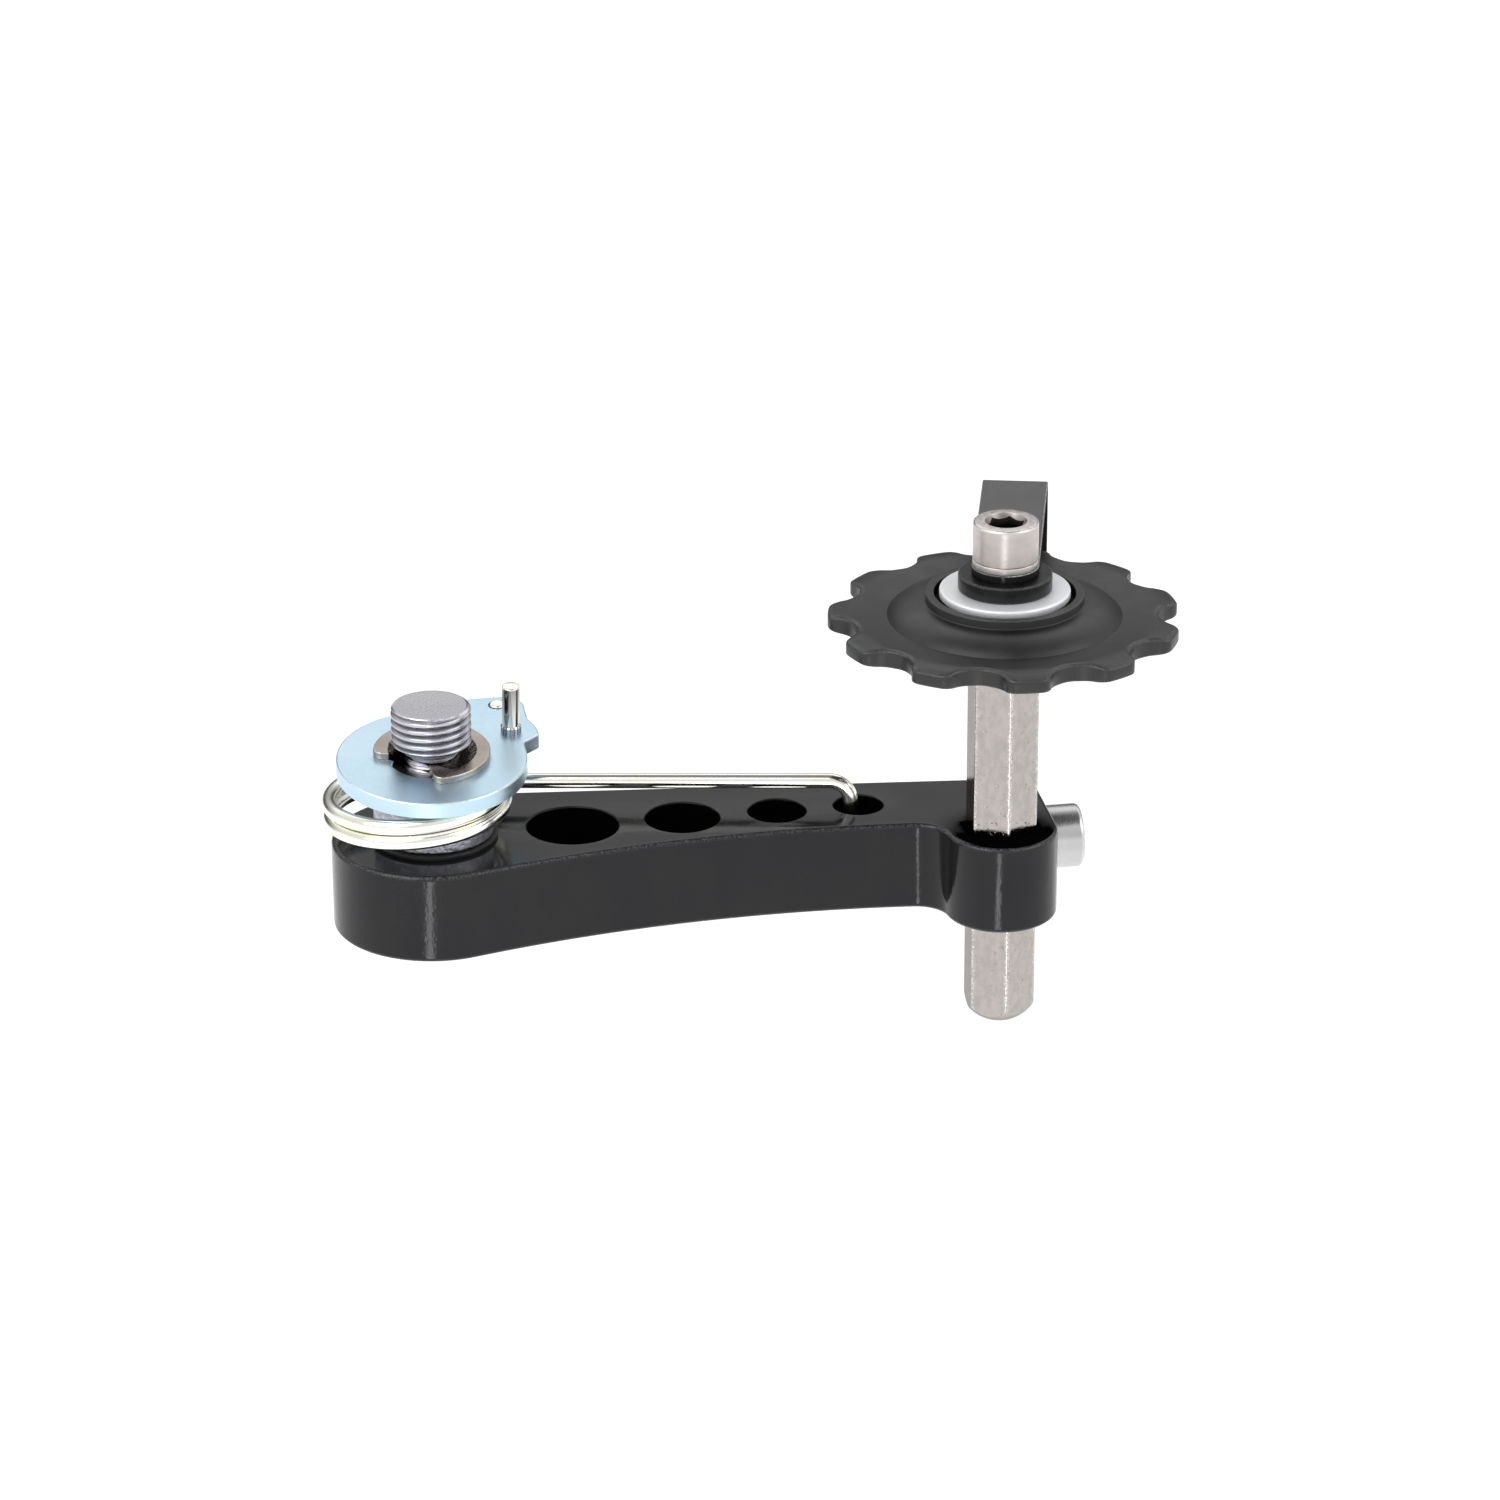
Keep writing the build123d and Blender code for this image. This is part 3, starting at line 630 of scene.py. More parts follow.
def six_sided(flats: float, turn: float = 0.0, rounding: float = 0.0, grow: float = 0.0) -> Polar:
    """Radius of a hexagon by angle.

    Args:
        flats: Width across flats.
        turn: Angle of the first corner, in degrees.
        rounding: Radius of its corners.
        grow: Length added to the radius.

    Returns:
        The radius as a function of the angle in radians.
    """
    half = flats / 2
    centre = (half - rounding) / cos(pi / 6)
    reach = atan2(rounding / 2, centre + rounding * cos(pi / 6)) if rounding else 0.0

    def radius(angle: float) -> float:
        """Radius of the rounded hexagon.

        Args:
            angle: Angle about its middle, in radians.

        Returns:
            The radius.
        """
        aside = (angle - radians(turn) + pi / 6) % (pi / 3) - pi / 6
        if abs(aside) < reach:
            return centre * cos(aside) + sqrt(rounding ** 2 - (centre * sin(aside)) ** 2) + grow
        return half / cos(pi / 6 - abs(aside)) + grow

    return radius


def span(node: str) -> tuple[Vector, Vector]:
    """Lowest and highest corner of a node, in millimetres."""
    low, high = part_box(node)
    return low / MM, high / MM


def outer_radius(node: str) -> float:
    """Outer radius of a round node that stands upright."""
    low, high = span(node)
    return (high.x - low.x) / 2


def collar(node: str, bore: float, edge: float, spare: float = 0.0) -> list[Row]:
    """Rows of a plain round collar in the place of a node.

    Args:
        node: Name of the node.
        bore: Radius of the collar's bore.
        edge: Rounding of its two outer rims.
        spare: Height that it leaves free below and above.

    Returns:
        The rows, which close on themselves.
    """
    low, high = span(node)
    foot, top = low.z + spare, high.z - spare
    radius = outer_radius(node)
    return section((bore, foot, 0), (radius, foot, edge), (radius, top, edge), (bore, top, 0))


def put(name: str, data: bpy.types.ID) -> Piece:
    """Return a new object in the scene.

    Args:
        name: Name of the object.
        data: Mesh, light or camera that it holds.

    Returns:
        The object.
    """
    made = bpy.data.objects.new(name, data)
    bpy.context.scene.collection.objects.link(made)
    return made


def bake(piece: Piece) -> Piece:
    """Turn a piece's modifiers into its plain mesh and remove them.

    Args:
        piece: An object that holds modifiers.

    Returns:
        The same object.
    """
    graph = bpy.context.evaluated_depsgraph_get()
    mesh = bpy.data.meshes.new_from_object(piece.evaluated_get(graph))
    piece.modifiers.clear()
    piece.data = mesh
    mesh.name = piece.name
    return piece


def tidy_normals(piece: Piece, crease: float) -> Piece:
    """Smooth a piece, keep its creases and weigh its normals by area.

    Args:
        piece: A mesh object.
        crease: Least angle of a crease, in degrees.

    Returns:
        The same object.
    """
    piece.data.shade_smooth()
    piece.data.set_sharp_from_angle(angle=radians(crease))
    weigh = piece.modifiers.new("weigh", "WEIGHTED_NORMAL")
    weigh.keep_sharp = True
    weigh.weight = NORMAL_WEIGHT
    return bake(piece)


def mesh_of(name: str, draft: Draft, place: Matrix = ORIGIN) -> bpy.types.Mesh:
    """Make a mesh of a draft, with its wear weights on its points; below zero they are painted shade.

    Args:
        name: Name of the mesh.
        draft: Mesh in its own frame, in millimetres.
        place: Where that frame lies in the shared frame.

    Returns:
        The mesh, in metres.
    """
    mesh = bpy.data.meshes.new(name)
    mesh.from_pydata([place @ point * MM for point in draft.points], [], draft.faces)
    weights = mesh.attributes.new(WEAR_AND_SHADE, "FLOAT", "POINT")
    weights.data.foreach_set("value", draft.wear_and_shade)
    return mesh


def piece_of(name: str, draft: Draft, place: Matrix, finish: Finish,
             crease: float = CREASE) -> Piece:
    """Make a finished object of a draft.

    Args:
        name: Name of the piece.
        draft: Mesh in its own frame, in millimetres.
        place: Where that frame lies in the shared frame.
        finish: Finish of the piece.
        crease: Least angle of a crease, in degrees.

    Returns:
        The object, at the origin with its place in its mesh.
    """
    mesh = mesh_of(name, draft, place)
    close_up(mesh)
    mesh.materials.append(finish.material())
    return tidy_normals(put(name, mesh), crease)


def close_up(mesh: bpy.types.Mesh) -> None:
    """Merge a mesh's doubled points and turn its faces outwards.

    Args:
        mesh: The mesh to mend.
    """
    work = bmesh.new()
    work.from_mesh(mesh)
    bmesh.ops.remove_doubles(work, verts=work.verts, dist=MERGE)
    bmesh.ops.recalc_face_normals(work, faces=work.faces)
    work.to_mesh(mesh)
    work.free()


@dataclass(frozen=True)
class PaintedShade:
    """A round place of painted shade on a flat side: the walls of a hole, or painted shade and painted
    reflection round the foot of a bar.
    """

    x: float
    y: float
    radius: float
    fade: float = 0.0

    def depth(self, point: Vector) -> float:
        """How deep the painted shade is at a point.

        Args:
            point: The point, in millimetres.

        Returns:
            Its darkness, from 0 to 1.
        """
        beyond = hypot(point.x - self.x, point.y - self.y) - self.radius
        if self.fade == 0:
            return 1.0 if beyond < 0 else 0.0
        return max(0.0, min(1.0, 1 - beyond / self.fade))

    def score(self, work: bmesh.types.BMesh, up: Vector) -> None:
        """Cut a fine grid into the flat side round a fading place, so that it can carry the fade.

        Args:
            work: Mesh that is cut.
            up: Normal of the flat side.
        """
        reach = self.radius + self.fade
        for step in range(2 * SCORE_STEPS + 1):
            aside = reach * (step / SCORE_STEPS - 1)
            for axis, middle in ((Vector((1, 0, 0)), self.x), (Vector((0, 1, 0)), self.y)):
                flat = [face for face in work.faces if face.normal.dot(up) > FLAT]
                parts = dict.fromkeys(part for face in flat for part in (face, *face.edges, *face.verts))
                place = axis * ((middle + aside) * MM)
                bmesh.ops.bisect_plane(work, geom=list(parts), plane_co=place, plane_no=axis)


def copy_of(node: str, finish: Finish, up: Vector, crease: float = CREASE,
            painted_shades: Sequence[PaintedShade] = ()) -> Piece:
    """A smooth copy of a CAD node, with wear on the rounded edges of its flat sides and painted shade in
    given places.

    Args:
        node: Name of the node.
        finish: Finish of the piece.
        up: Normal of the node's flat sides.
        crease: Least angle of a crease, in degrees.
        painted_shades: Places of painted shade.

    Returns:
        The copy.
    """
    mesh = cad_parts[node].data.copy()
    work = bmesh.new()
    work.from_mesh(mesh)
    bmesh.ops.remove_doubles(work, verts=work.verts, dist=MERGE)
    for dark in painted_shades:
        if dark.fade > 0:
            dark.score(work, up)
    work.normal_update()
    wear_and_shade = []
    wall = []
    for vert in work.verts:
        tilt = vert.normal.dot(up) ** 2
        flat = vert.normal.dot(up) > NEAR_FLAT
        # Depth of the painted shade at this point
        deep = max((dark.depth(vert.co / MM) for dark in painted_shades if flat or dark.fade == 0), default=0.0)
        sharp = any(edge.calc_face_angle(0.0) > SHARP for edge in vert.link_edges)
        rubbed = 0.0 if sharp else 4 * tilt * (1 - tilt)
        wear_and_shade.append(-deep if deep > 0 else rubbed)
        wall.append(0.0 if sharp else 1 - tilt)
    work.to_mesh(mesh)
    work.free()
    for name, values in ((WEAR_AND_SHADE, wear_and_shade), (WALL, wall)):
        mesh.attributes.new(name, "FLOAT", "POINT").data.foreach_set("value", values)
    mesh.materials.clear()
    mesh.materials.append(finish.material())
    return level_sides(tidy_normals(put(node + "_skin", mesh), crease), up)


def level_sides(piece: Piece, up: Vector) -> Piece:
    """Give the faces of a piece's flat sides their exact normals, for clean reflections.

    Args:
        piece: A smooth piece.
        up: Normal of its flat sides.

    Returns:
        The same piece.
    """
    normals = [Vector(corner.vector) for corner in piece.data.corner_normals]
    for face in piece.data.polygons:
        if abs(face.normal.dot(up)) > LEVEL:
            for corner in face.loop_indices:
                normals[corner] = up * (1 if face.normal.dot(up) > 0 else -1)
    piece.data.normals_split_custom_set([tuple(normal) for normal in normals])
    return piece


def seat(piece: Piece, body: Body, slot: Slot, *nodes: str) -> Piece:
    """Let a piece ride on its body in place of its CAD nodes.

    Args:
        piece: The finished piece.
        body: The body that it moves with.
        slot: The record's slot of its finish; not used.
        nodes: CAD nodes that it stands for.

    Returns:
        The piece.
    """
    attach(piece, body.value)
    if nodes:
        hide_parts(*nodes)
    LOG.info("%s rides on %s, %d faces", piece.name, body.value, len(piece.data.polygons))
    return piece


def cut_bore(piece: Piece, radius: float, low: float, high: float,
             place: Matrix) -> Piece:
    """Cut a round bore through a piece.

    Args:
        piece: The piece to bore.
        radius: Radius of the bore.
        low: Height of its lower end in the frame of the bore.
        high: Height of its upper end.
        place: Frame of the bore.

    Returns:
        The bored piece.
    """
    rows = [Row(0, low), Row(radius, low), Row(radius, high), Row(0, high)]
    drill = piece_of("drill", Draft().turned(rows, sides=48), place, NYLON)
    cut = piece.modifiers.new("bore", "BOOLEAN")
    cut.object = drill
    cut.solver = "EXACT"
    bake(piece)
    bpy.data.objects.remove(drill)
    return piece


class NodeTree:
    """A geometry tree with named inputs that ends in plain, dressed geometry."""

    def __init__(self, name: str, finish: Finish, **inputs: float) -> None:
        """Start a tree.

        Args:
            name: Name of the tree.
            finish: Finish that the tree gives to its mesh.
            inputs: Named sizes, whole numbers for counts.
        """
        self.tree = bpy.data.node_groups.new(name, "GeometryNodeTree")
        self.finish = finish
        self.tree.interface.new_socket("Geometry", in_out="INPUT", socket_type="NodeSocketGeometry")
        self.tree.interface.new_socket("Geometry", in_out="OUTPUT", socket_type="NodeSocketGeometry")
        self.inputs = dict(inputs)
        self.keys = {}
        for label, value in inputs.items():
            kind = "NodeSocketInt" if isinstance(value, int) else "NodeSocketFloat"
            made = self.tree.interface.new_socket(label, in_out="INPUT", socket_type=kind)
            self.keys[label] = made.identifier
        self.entry = self.tree.nodes.new("NodeGroupInput")

    def node(self, kind: str, **links: object) -> bpy.types.Node:
        """Add a node and fill its inputs, with spaces written as underscores.

        Args:
            kind: Type of the node.
            links: Sockets or values for its named inputs.

        Returns:
            The node.
        """
        made = self.tree.nodes.new(kind)
        for key, value in links.items():
            self.fill(made.inputs[key.replace("_", " ")], value)
        return made

    def fill(self, socket: Socket, value: object) -> None:
        """Link a socket to another, or set its value.

        Args:
            socket: Input to fill.
            value: A socket or a plain value.
        """
        if isinstance(value, Socket):
            self.tree.links.new(value, socket)
        else:
            socket.default_value = value

    def math(self, operation: str, first: object, second: object) -> Socket:
        """Return the result of one sum on two values.

        Args:
            operation: Kind of sum.
            first: First socket or value.
            second: Second socket or value.

        Returns:
            The result.
        """
        made = self.tree.nodes.new("ShaderNodeMath")
        made.operation = operation
        self.fill(made.inputs[0], first)
        self.fill(made.inputs[1], second)
        return made.outputs[0]

    def given(self, label: str) -> Socket:
        """Return the socket of a named input."""
        return self.entry.outputs[label]

    def close(self, geometry: Socket) -> None:
        """End the tree in realised geometry with its material.

        Args:
            geometry: Geometry that the tree has made.
        """
        plain = self.node("GeometryNodeRealizeInstances", Geometry=geometry)
        dressed = self.node("GeometryNodeSetMaterial", Geometry=plain.outputs[0])
        dressed.inputs["Material"].default_value = self.finish.material()
        self.node("NodeGroupOutput", Geometry=dressed.outputs[0])

    def grow(self, name: str, seed: bpy.types.Mesh) -> Piece:
        """Run the tree on a mesh and return the plain result.

        Args:
            name: Name of the new piece.
            seed: Mesh that the tree starts from.

        Returns:
            The grown object.
        """
        piece = put(name, seed)
        change = piece.modifiers.new("grow", "NODES")
        change.node_group = self.tree
        for label, value in self.inputs.items():
            change[self.keys[label]] = value
        return bake(piece)


def swept_wire(finish: Finish, radius: float, sides: int) -> NodeTree:
    """A tree that sweeps a round wire with rounded ends along a line of edges.

    Args:
        finish: Finish of the wire.
        radius: Radius of the wire.
        sides: Sides of its section.

    Returns:
        The tree.
    """
    tree = NodeTree("swept_wire", finish, Wire_Radius=radius * MM, Sides=sides, End_Round=WIRE_END * MM)
    line = tree.node("GeometryNodeMeshToCurve", Mesh=tree.given("Geometry"))
    ring = tree.node("GeometryNodeCurvePrimitiveCircle", Resolution=tree.given("Sides"),
                     Radius=tree.given("Wire_Radius"))
    along = tree.node("GeometryNodeSplineParameter").outputs["Length"]
    whole = tree.node("GeometryNodeSplineLength").outputs["Length"]
    rounding = tree.given("End_Round")
    near_end = tree.math("MINIMUM", along, tree.math("SUBTRACT", whole, along))
    lack = tree.math("SUBTRACT", 1.0, tree.math("DIVIDE", near_end, rounding))
    short = tree.math("MAXIMUM", lack, 0.0)
    rest = tree.math("SUBTRACT", 1.0, tree.math("MULTIPLY", short, short))
    arc = tree.math("SUBTRACT", 1.0, tree.math("SQRT", rest, 0.0))
    loss = tree.math("MULTIPLY", arc, tree.math("DIVIDE", rounding, tree.given("Wire_Radius")))
    tube = tree.node("GeometryNodeCurveToMesh", Curve=line.outputs[0], Profile_Curve=ring.outputs["Curve"],
                     Scale=tree.math("SUBTRACT", 1.0, loss), Fill_Caps=True)
    tree.close(tube.outputs[0])
    return tree


def ring_of(finish: Finish, count: int) -> NodeTree:
    """A tree that repeats a mesh evenly about the Z axis and joins the copies.

    Args:
        finish: Finish of the copies.
        count: Number of copies.

    Returns:
        The tree.
    """
    tree = NodeTree("ring_of_copies", finish, Count=count)
    dots = tree.node("GeometryNodePoints", Count=tree.given("Count"))
    place = tree.node("GeometryNodeInputIndex")
    turn = tree.math("MULTIPLY", place.outputs[0], tree.math("DIVIDE", 2 * pi, tree.given("Count")))
    spin = tree.node("ShaderNodeCombineXYZ", Z=turn)
    copies = tree.node("GeometryNodeInstanceOnPoints", Points=dots.outputs[0],
                       Instance=tree.given("Geometry"), Rotation=spin.outputs[0])
    plain = tree.node("GeometryNodeRealizeInstances", Geometry=copies.outputs[0])
    whole = tree.node("GeometryNodeMergeByDistance", Geometry=plain.outputs[0], Distance=MERGE)
    tree.close(whole.outputs[0])
    return tree


def line_mesh(name: str, points: Sequence[Vector]) -> bpy.types.Mesh:
    """A mesh of edges through points.

    Args:
        name: Name of the mesh.
        points: The points in order, in millimetres.

    Returns:
        The mesh, in metres.
    """
    mesh = bpy.data.meshes.new(name)
    edges = [(step, step + 1) for step in range(len(points) - 1)]
    mesh.from_pydata([point * MM for point in points], edges, [])
    return mesh


def bend_arc(start: Vector, corner: Vector, stop: Vector, steps: int = 12) -> list[Vector]:
    """Points on the arc that rounds a corner between two tangent points.

    Args:
        start: First tangent point.
        corner: Corner that is rounded.
        stop: Last tangent point, as far from the corner as the first.
        steps: Steps along the arc.

    Returns:
        The points, with both ends.
    """
    first = (start - corner).normalized()
    second = (stop - corner).normalized()
    half = first.angle(second) / 2
    centre = corner + (first + second).normalized() * ((start - corner).length / cos(half))
    arm = start - centre
    end = stop - centre
    sweep = arm.angle(end)
    return [centre + (arm * sin((1 - t) * sweep) + end * sin(t * sweep)) / sin(sweep)
            for t in (step / steps for step in range(steps + 1))]


@dataclass
class PivotStack:
    """The hanger bolt and all that turns on it: clip, plate, pin, spring, sleeve and bushes."""

    thread_pitch: float = 1.0
    thread_depth: float = 0.52
    thread_chamfer: float = 0.3
    neck_radius: float = 3.5
    shank_radius: float = 4.9
    bolt_socket: float = 6.0
    bolt_socket_depth: float = 3.0
    socket_point: float = 0.6
    socket_flare: float = 0.3
    head_height: float = 4.0
    head_land: float = 2.5
    head_edge: float = 0.5
    neck_grooves: int = 5
    groove_depth: float = 0.09
    groove_spacing: float = 0.42
    thread_spare: float = 0.03
    thread_rows: int = 18
    thread_polish: float = 0.4
    face_inset: float = 0.15
    face_dish: float = 0.05
    face_wear: float = 0.8
    bore_spare: float = 0.05
    sleeve_edge: float = 0.3
    bush_wall: float = 1.1
    plate_tip: float = 6.0
    plate_thickness: float = 2.0
    clip_thickness: float = 0.95
    clip_radius: float = 7.2
    clip_inner: float = 5.4
    clip_tooth: float = 2.4
    clip_mouth: float = 84.0
    clip_direction: float = 222.5
    clip_gap: float = 0.35
    clip_drop_spare: float = 0.37
    clip_edge: float = 0.16
    clip_corner: float = 0.35
    finger_spare: float = 0.15
    pin_place: tuple[float, float] = (10.45, 4.95)
    pin_radius: float = 1.1
    pin_height: float = 6.4
    collar_radius: float = 1.28
    collar_height: float = 1.1
    collar_step: float = 0.1
    collar_lift: float = 0.02
    spline_count: int = 16
    spline_share: float = 0.62
    spline_depth: float = 0.16
    spline_crease: float = 30.0
    wire_radius: float = 0.96
    wire_sides: int = 28
    coil_radius: float = 10.77
    coil_offset: float = -1.94
    coil_lean: float = 2.1
    coil_nod: float = 1.1
    coil_pitch: float = 2.02
    coil_base: float = 2.9
    coil_steps: int = 240
    coil_rounds: int = 2
    leg_x: float = 52.2
    leg_bend: float = 2.6
    leg_depth: float = 6.0
    tail_place: tuple[float, float] = (9.6, 11.8)
    tail_stand: float = 0.3
    tail_bend: float = 1.9

    def __post_init__(self) -> None:
        """Work out the heights and the tipped frame of the plate."""
        self.bolt_low, self.bolt_high = (corner.z for corner in span("hanger_bolt"))
        self.thread_radius = self.shank_radius + self.thread_spare
        self.bore = self.shank_radius + self.bore_spare
        tip = radians(self.plate_tip)
        drop = self.thread_radius * sin(tip) + self.clip_drop_spare
        self.plate_top = -drop - self.clip_thickness / cos(tip)
        self.neck_length = -self.plate_top + self.shank_radius * tan(tip) + self.clip_gap
        self.arm_top = span("arm")[1].z
        self.plate_frame = Matrix.Translation((0, 0, self.plate_top)) @ Matrix.Rotation(tip, 4, "X")
        self.pin_frame = self.plate_frame @ Matrix.Translation((*self.pin_place, 0))

    def build(self) -> None:
        """Make every piece of the stack, and seat all but the spring."""
        seat(self.bolt(), Body.BOLT, Slot.BOLT, "hanger_bolt")
        seat(self.clip(), Body.PLATE, Slot.CLIP, "e_clip")
        up = self.plate_frame.to_3x3() @ UP
        seat(copy_of("stop_plate", BLUE_ZINC, up), Body.PLATE, Slot.PLATE, "stop_plate")
        seat(self.pin(), Body.PLATE, Slot.PIN, "stop_pin")
        seat(self.splines(), Body.PLATE, Slot.PIN)
        seat(self.sleeve(), Body.BOLT, Slot.SLEEVE, "spring_sleeve")
        seat(self.bush(), Body.ARM, Slot.NYLON, "upper_bush")
        self.spring()

    def bolt(self) -> Piece:
        """The bolt's head, shank, grooved neck and cut thread."""
        head = outer_radius("hanger_bolt")
        low, top = self.bolt_low, self.bolt_high
        head_top = low + self.head_height
        floor = low + self.bolt_socket_depth
        neck, foot = self.neck_radius, -self.neck_length
        rows = [Row(0, floor + self.socket_point), Row(six_sided(self.bolt_socket), floor),
                Row(six_sided(self.bolt_socket), low + self.socket_flare),
                Row(six_sided(self.bolt_socket, grow=self.socket_flare), low, 0.6)]
        rows += section((head - self.head_land, low, 0), (head, low, self.head_edge), (head, head_top, 0.2),
                        (self.shank_radius, head_top, 0), (self.shank_radius, foot, 0.35), (neck, foot, 0))
        groove = self.groove_depth
        for step in range(4 * self.neck_grooves):
            height = foot + self.groove_spacing * (0.4 + step / 4)
            rows.append(Row(neck - groove + groove * cos(step * pi / 2), height))
        rows += [Row(neck, -0.25), Row(neck, 0)]
        count = round(top / self.thread_pitch * self.thread_rows)
        for step in range(count + 1):
            level = top * step / count
            rows.append(Row(lambda angle, z=level: self.thread_at(angle, z), level,
                            lambda angle, z=level: self.thread_wear_and_shade(angle, z)))
        face = self.thread_radius - self.thread_chamfer - self.face_inset
        for radius, height in ((face, top), (face - 1, top), (0, top - self.face_dish)):
            rows.append(Row(radius, height, self.face_wear))
        return piece_of("threaded_bolt", Draft().turned(rows, sides=144), ORIGIN, BOLT_STEEL)

    def thread_at(self, angle: float, level: float) -> float:
        """Radius of the cut thread.

        Args:
            angle: Angle about the axis, in radians.
            level: Height above the thread's foot.

        Returns:
            The radius.
        """
        phase = level / self.thread_pitch - angle / (2 * pi)
        groove = (0.5 + 0.5 * cos(2 * pi * phase)) ** 2
        ends = min(level, self.bolt_high - level)
        chamfer = self.thread_radius - self.thread_chamfer + ends
        return min(self.thread_radius - self.thread_depth * groove, chamfer)

    def thread_wear_and_shade(self, angle: float, level: float) -> float:
        """Wear and painted shade of the thread: bright on its crests and top edge, with painted shade in
        its grooves.

        Args:
            angle: Angle about the axis, in radians.
            level: Height above the thread's foot.

        Returns:
            The wear weight, below zero deep in the grooves, where it is painted shade.
        """
        if self.bolt_high - level < self.thread_chamfer:
            return 1.0
        return self.thread_polish - (self.thread_radius - self.thread_at(angle, level)) / self.thread_depth

    def clip(self) -> Piece:
        """The spring clip in the bolt's groove, as a rounded plate on a plan of arcs."""
        plan = self.clip_plan()
        shift = Matrix.Translation((0, tan(radians(self.plate_tip)) * self.clip_thickness / 2, 0))
        turn = Matrix.Rotation(radians(self.clip_direction), 4, "Z")
        draft = rounded_plate(plan, 0.0, self.clip_thickness, self.clip_edge)
        return piece_of("spring_clip", draft, self.plate_frame @ shift @ turn, CLIP_STEEL)

    def clip_plan(self) -> list[Vector]:
        """Outline of the clip, its mouth towards +X, anticlockwise; one of its ends is a plain finger."""
        tooth = self.clip_tooth / 2
        tip = self.neck_radius + self.clip_gap
        root = self.clip_radius - tooth
        lean = radians(self.clip_mouth / 2) + asin(tooth / root)
        last = 2 * pi - lean
        outline = arc_points(self.clip_radius, lean, last, 72)
        outline += [point + Vector((cos(last), sin(last))) * root
                    for point in arc_points(tooth, last, last + pi / 2, 10)[1:]]
        for centre, following in ((last, pi), (pi, lean), (lean, lean)):
            inner = self.clip_inner - self.finger_spare if centre == last else tip
            outline += arc_points(inner, centre + asin(tooth / inner), centre - asin(tooth / inner), 10)
            if centre != following:
                outline += arc_points(self.clip_inner, centre - asin(tooth / self.clip_inner),
                                      following + asin(tooth / self.clip_inner), 26)
        outline += [point + Vector((cos(lean), sin(lean))) * root
                    for point in arc_points(tooth, lean - pi / 2, lean, 10)[:-1]]
        return soften(outline, self.clip_corner)

    def pin(self) -> Piece:
        """The stop pin with a rounded tip."""
        pin, foot, lift = self.pin_radius, -self.plate_thickness, self.collar_lift
        core = self.collar_radius - self.collar_step
        rows = section((0, foot, 0), (pin, foot, 0), (pin, lift, 0), (core, lift, 0),
                       (core, self.collar_height - 0.15, 0.08), (pin, self.collar_height, 0),
                       (pin, self.pin_height, 0.2), (0, self.pin_height, 0))
        # The collar at the foot of the pin carries painted shade
        rows = [Row(row.radius, row.height, FOOT_SHADE) if row.radius > pin else row for row in rows]
        return piece_of("stop_pin_shaft", Draft().turned(rows, sides=64), self.pin_frame, NICKEL)

    def splines(self) -> Piece:
        """The ring of splines at the foot of the stop pin."""
        half = pi / self.spline_count * self.spline_share
        outer, top = self.collar_radius, self.collar_height
        inner = outer - self.spline_depth
        # The foot of the splines carries painted shade, and their tops are rubbed
        rows = [Row(inner, 0.0, FOOT_SHADE), Row(outer, 0.0), Row(outer, top - 0.3), Row(outer, top - 0.25, 1.0),
                Row(inner, top - 0.05, 1.0)]
        mesh = mesh_of("spline_rib", Draft().turned(rows, sides=3, closed=True, arc=(-half, half)))
        close_up(mesh)
        piece = ring_of(COLLAR_STEEL, self.spline_count).grow("stop_pin_splines", mesh)
        piece.data.transform(place_in_metres(self.pin_frame))
        return tidy_normals(piece, self.spline_crease)

    def sleeve(self) -> Piece:
        """The zinc sleeve inside the coil."""
        draft = Draft().turned(collar("spring_sleeve", self.bore, self.sleeve_edge), closed=True)
        return piece_of("coil_sleeve", draft, ORIGIN, SLEEVE_ZINC)

    def bush(self) -> Piece:
        """The upper nylon bush with its flange on the arm."""
        low, high = span("upper_bush")
        radius = outer_radius("upper_bush")
        tube = self.bore + self.bush_wall
        rows = section((self.bore, low.z, 0), (tube, low.z, 0.1), (tube, self.arm_top, 0),
                       (radius, self.arm_top, 0.1), (radius, high.z, 0.2), (self.bore, high.z, 0))
        return piece_of("pivot_bush", Draft().turned(rows, closed=True), ORIGIN, NYLON)

    def wire_line(self) -> list[Vector]:
        """Centre line of the spring from its leg in the arm to its tail in the plate."""
        base = self.arm_top + self.coil_base
        nod = Matrix.Rotation(radians(-self.coil_nod), 4, "X")
        lean = Matrix.Rotation(radians(-self.coil_lean), 4, "Y")
        coil = Matrix.Translation((self.coil_offset, 0, base)) @ nod @ lean
        back = coil.inverted()
        rise = self.coil_pitch / (2 * pi)
        slope = rise / self.coil_radius
        hole = back @ Vector((self.leg_x, 0, base))
        first = atan2(hole.y, hole.x) + acos(self.coil_radius / hypot(hole.x, hole.y))
        reach = sqrt(hole.x ** 2 + hole.y ** 2 - self.coil_radius ** 2)
        leg_way = Vector((sin(first), -cos(first), -slope))
        tail = back @ self.plate_frame @ Vector((*self.tail_place, self.tail_stand))
        up = (back @ self.plate_frame).to_3x3() @ UP
        stand = self.plate_thickness + self.tail_stand + self.tail_bend
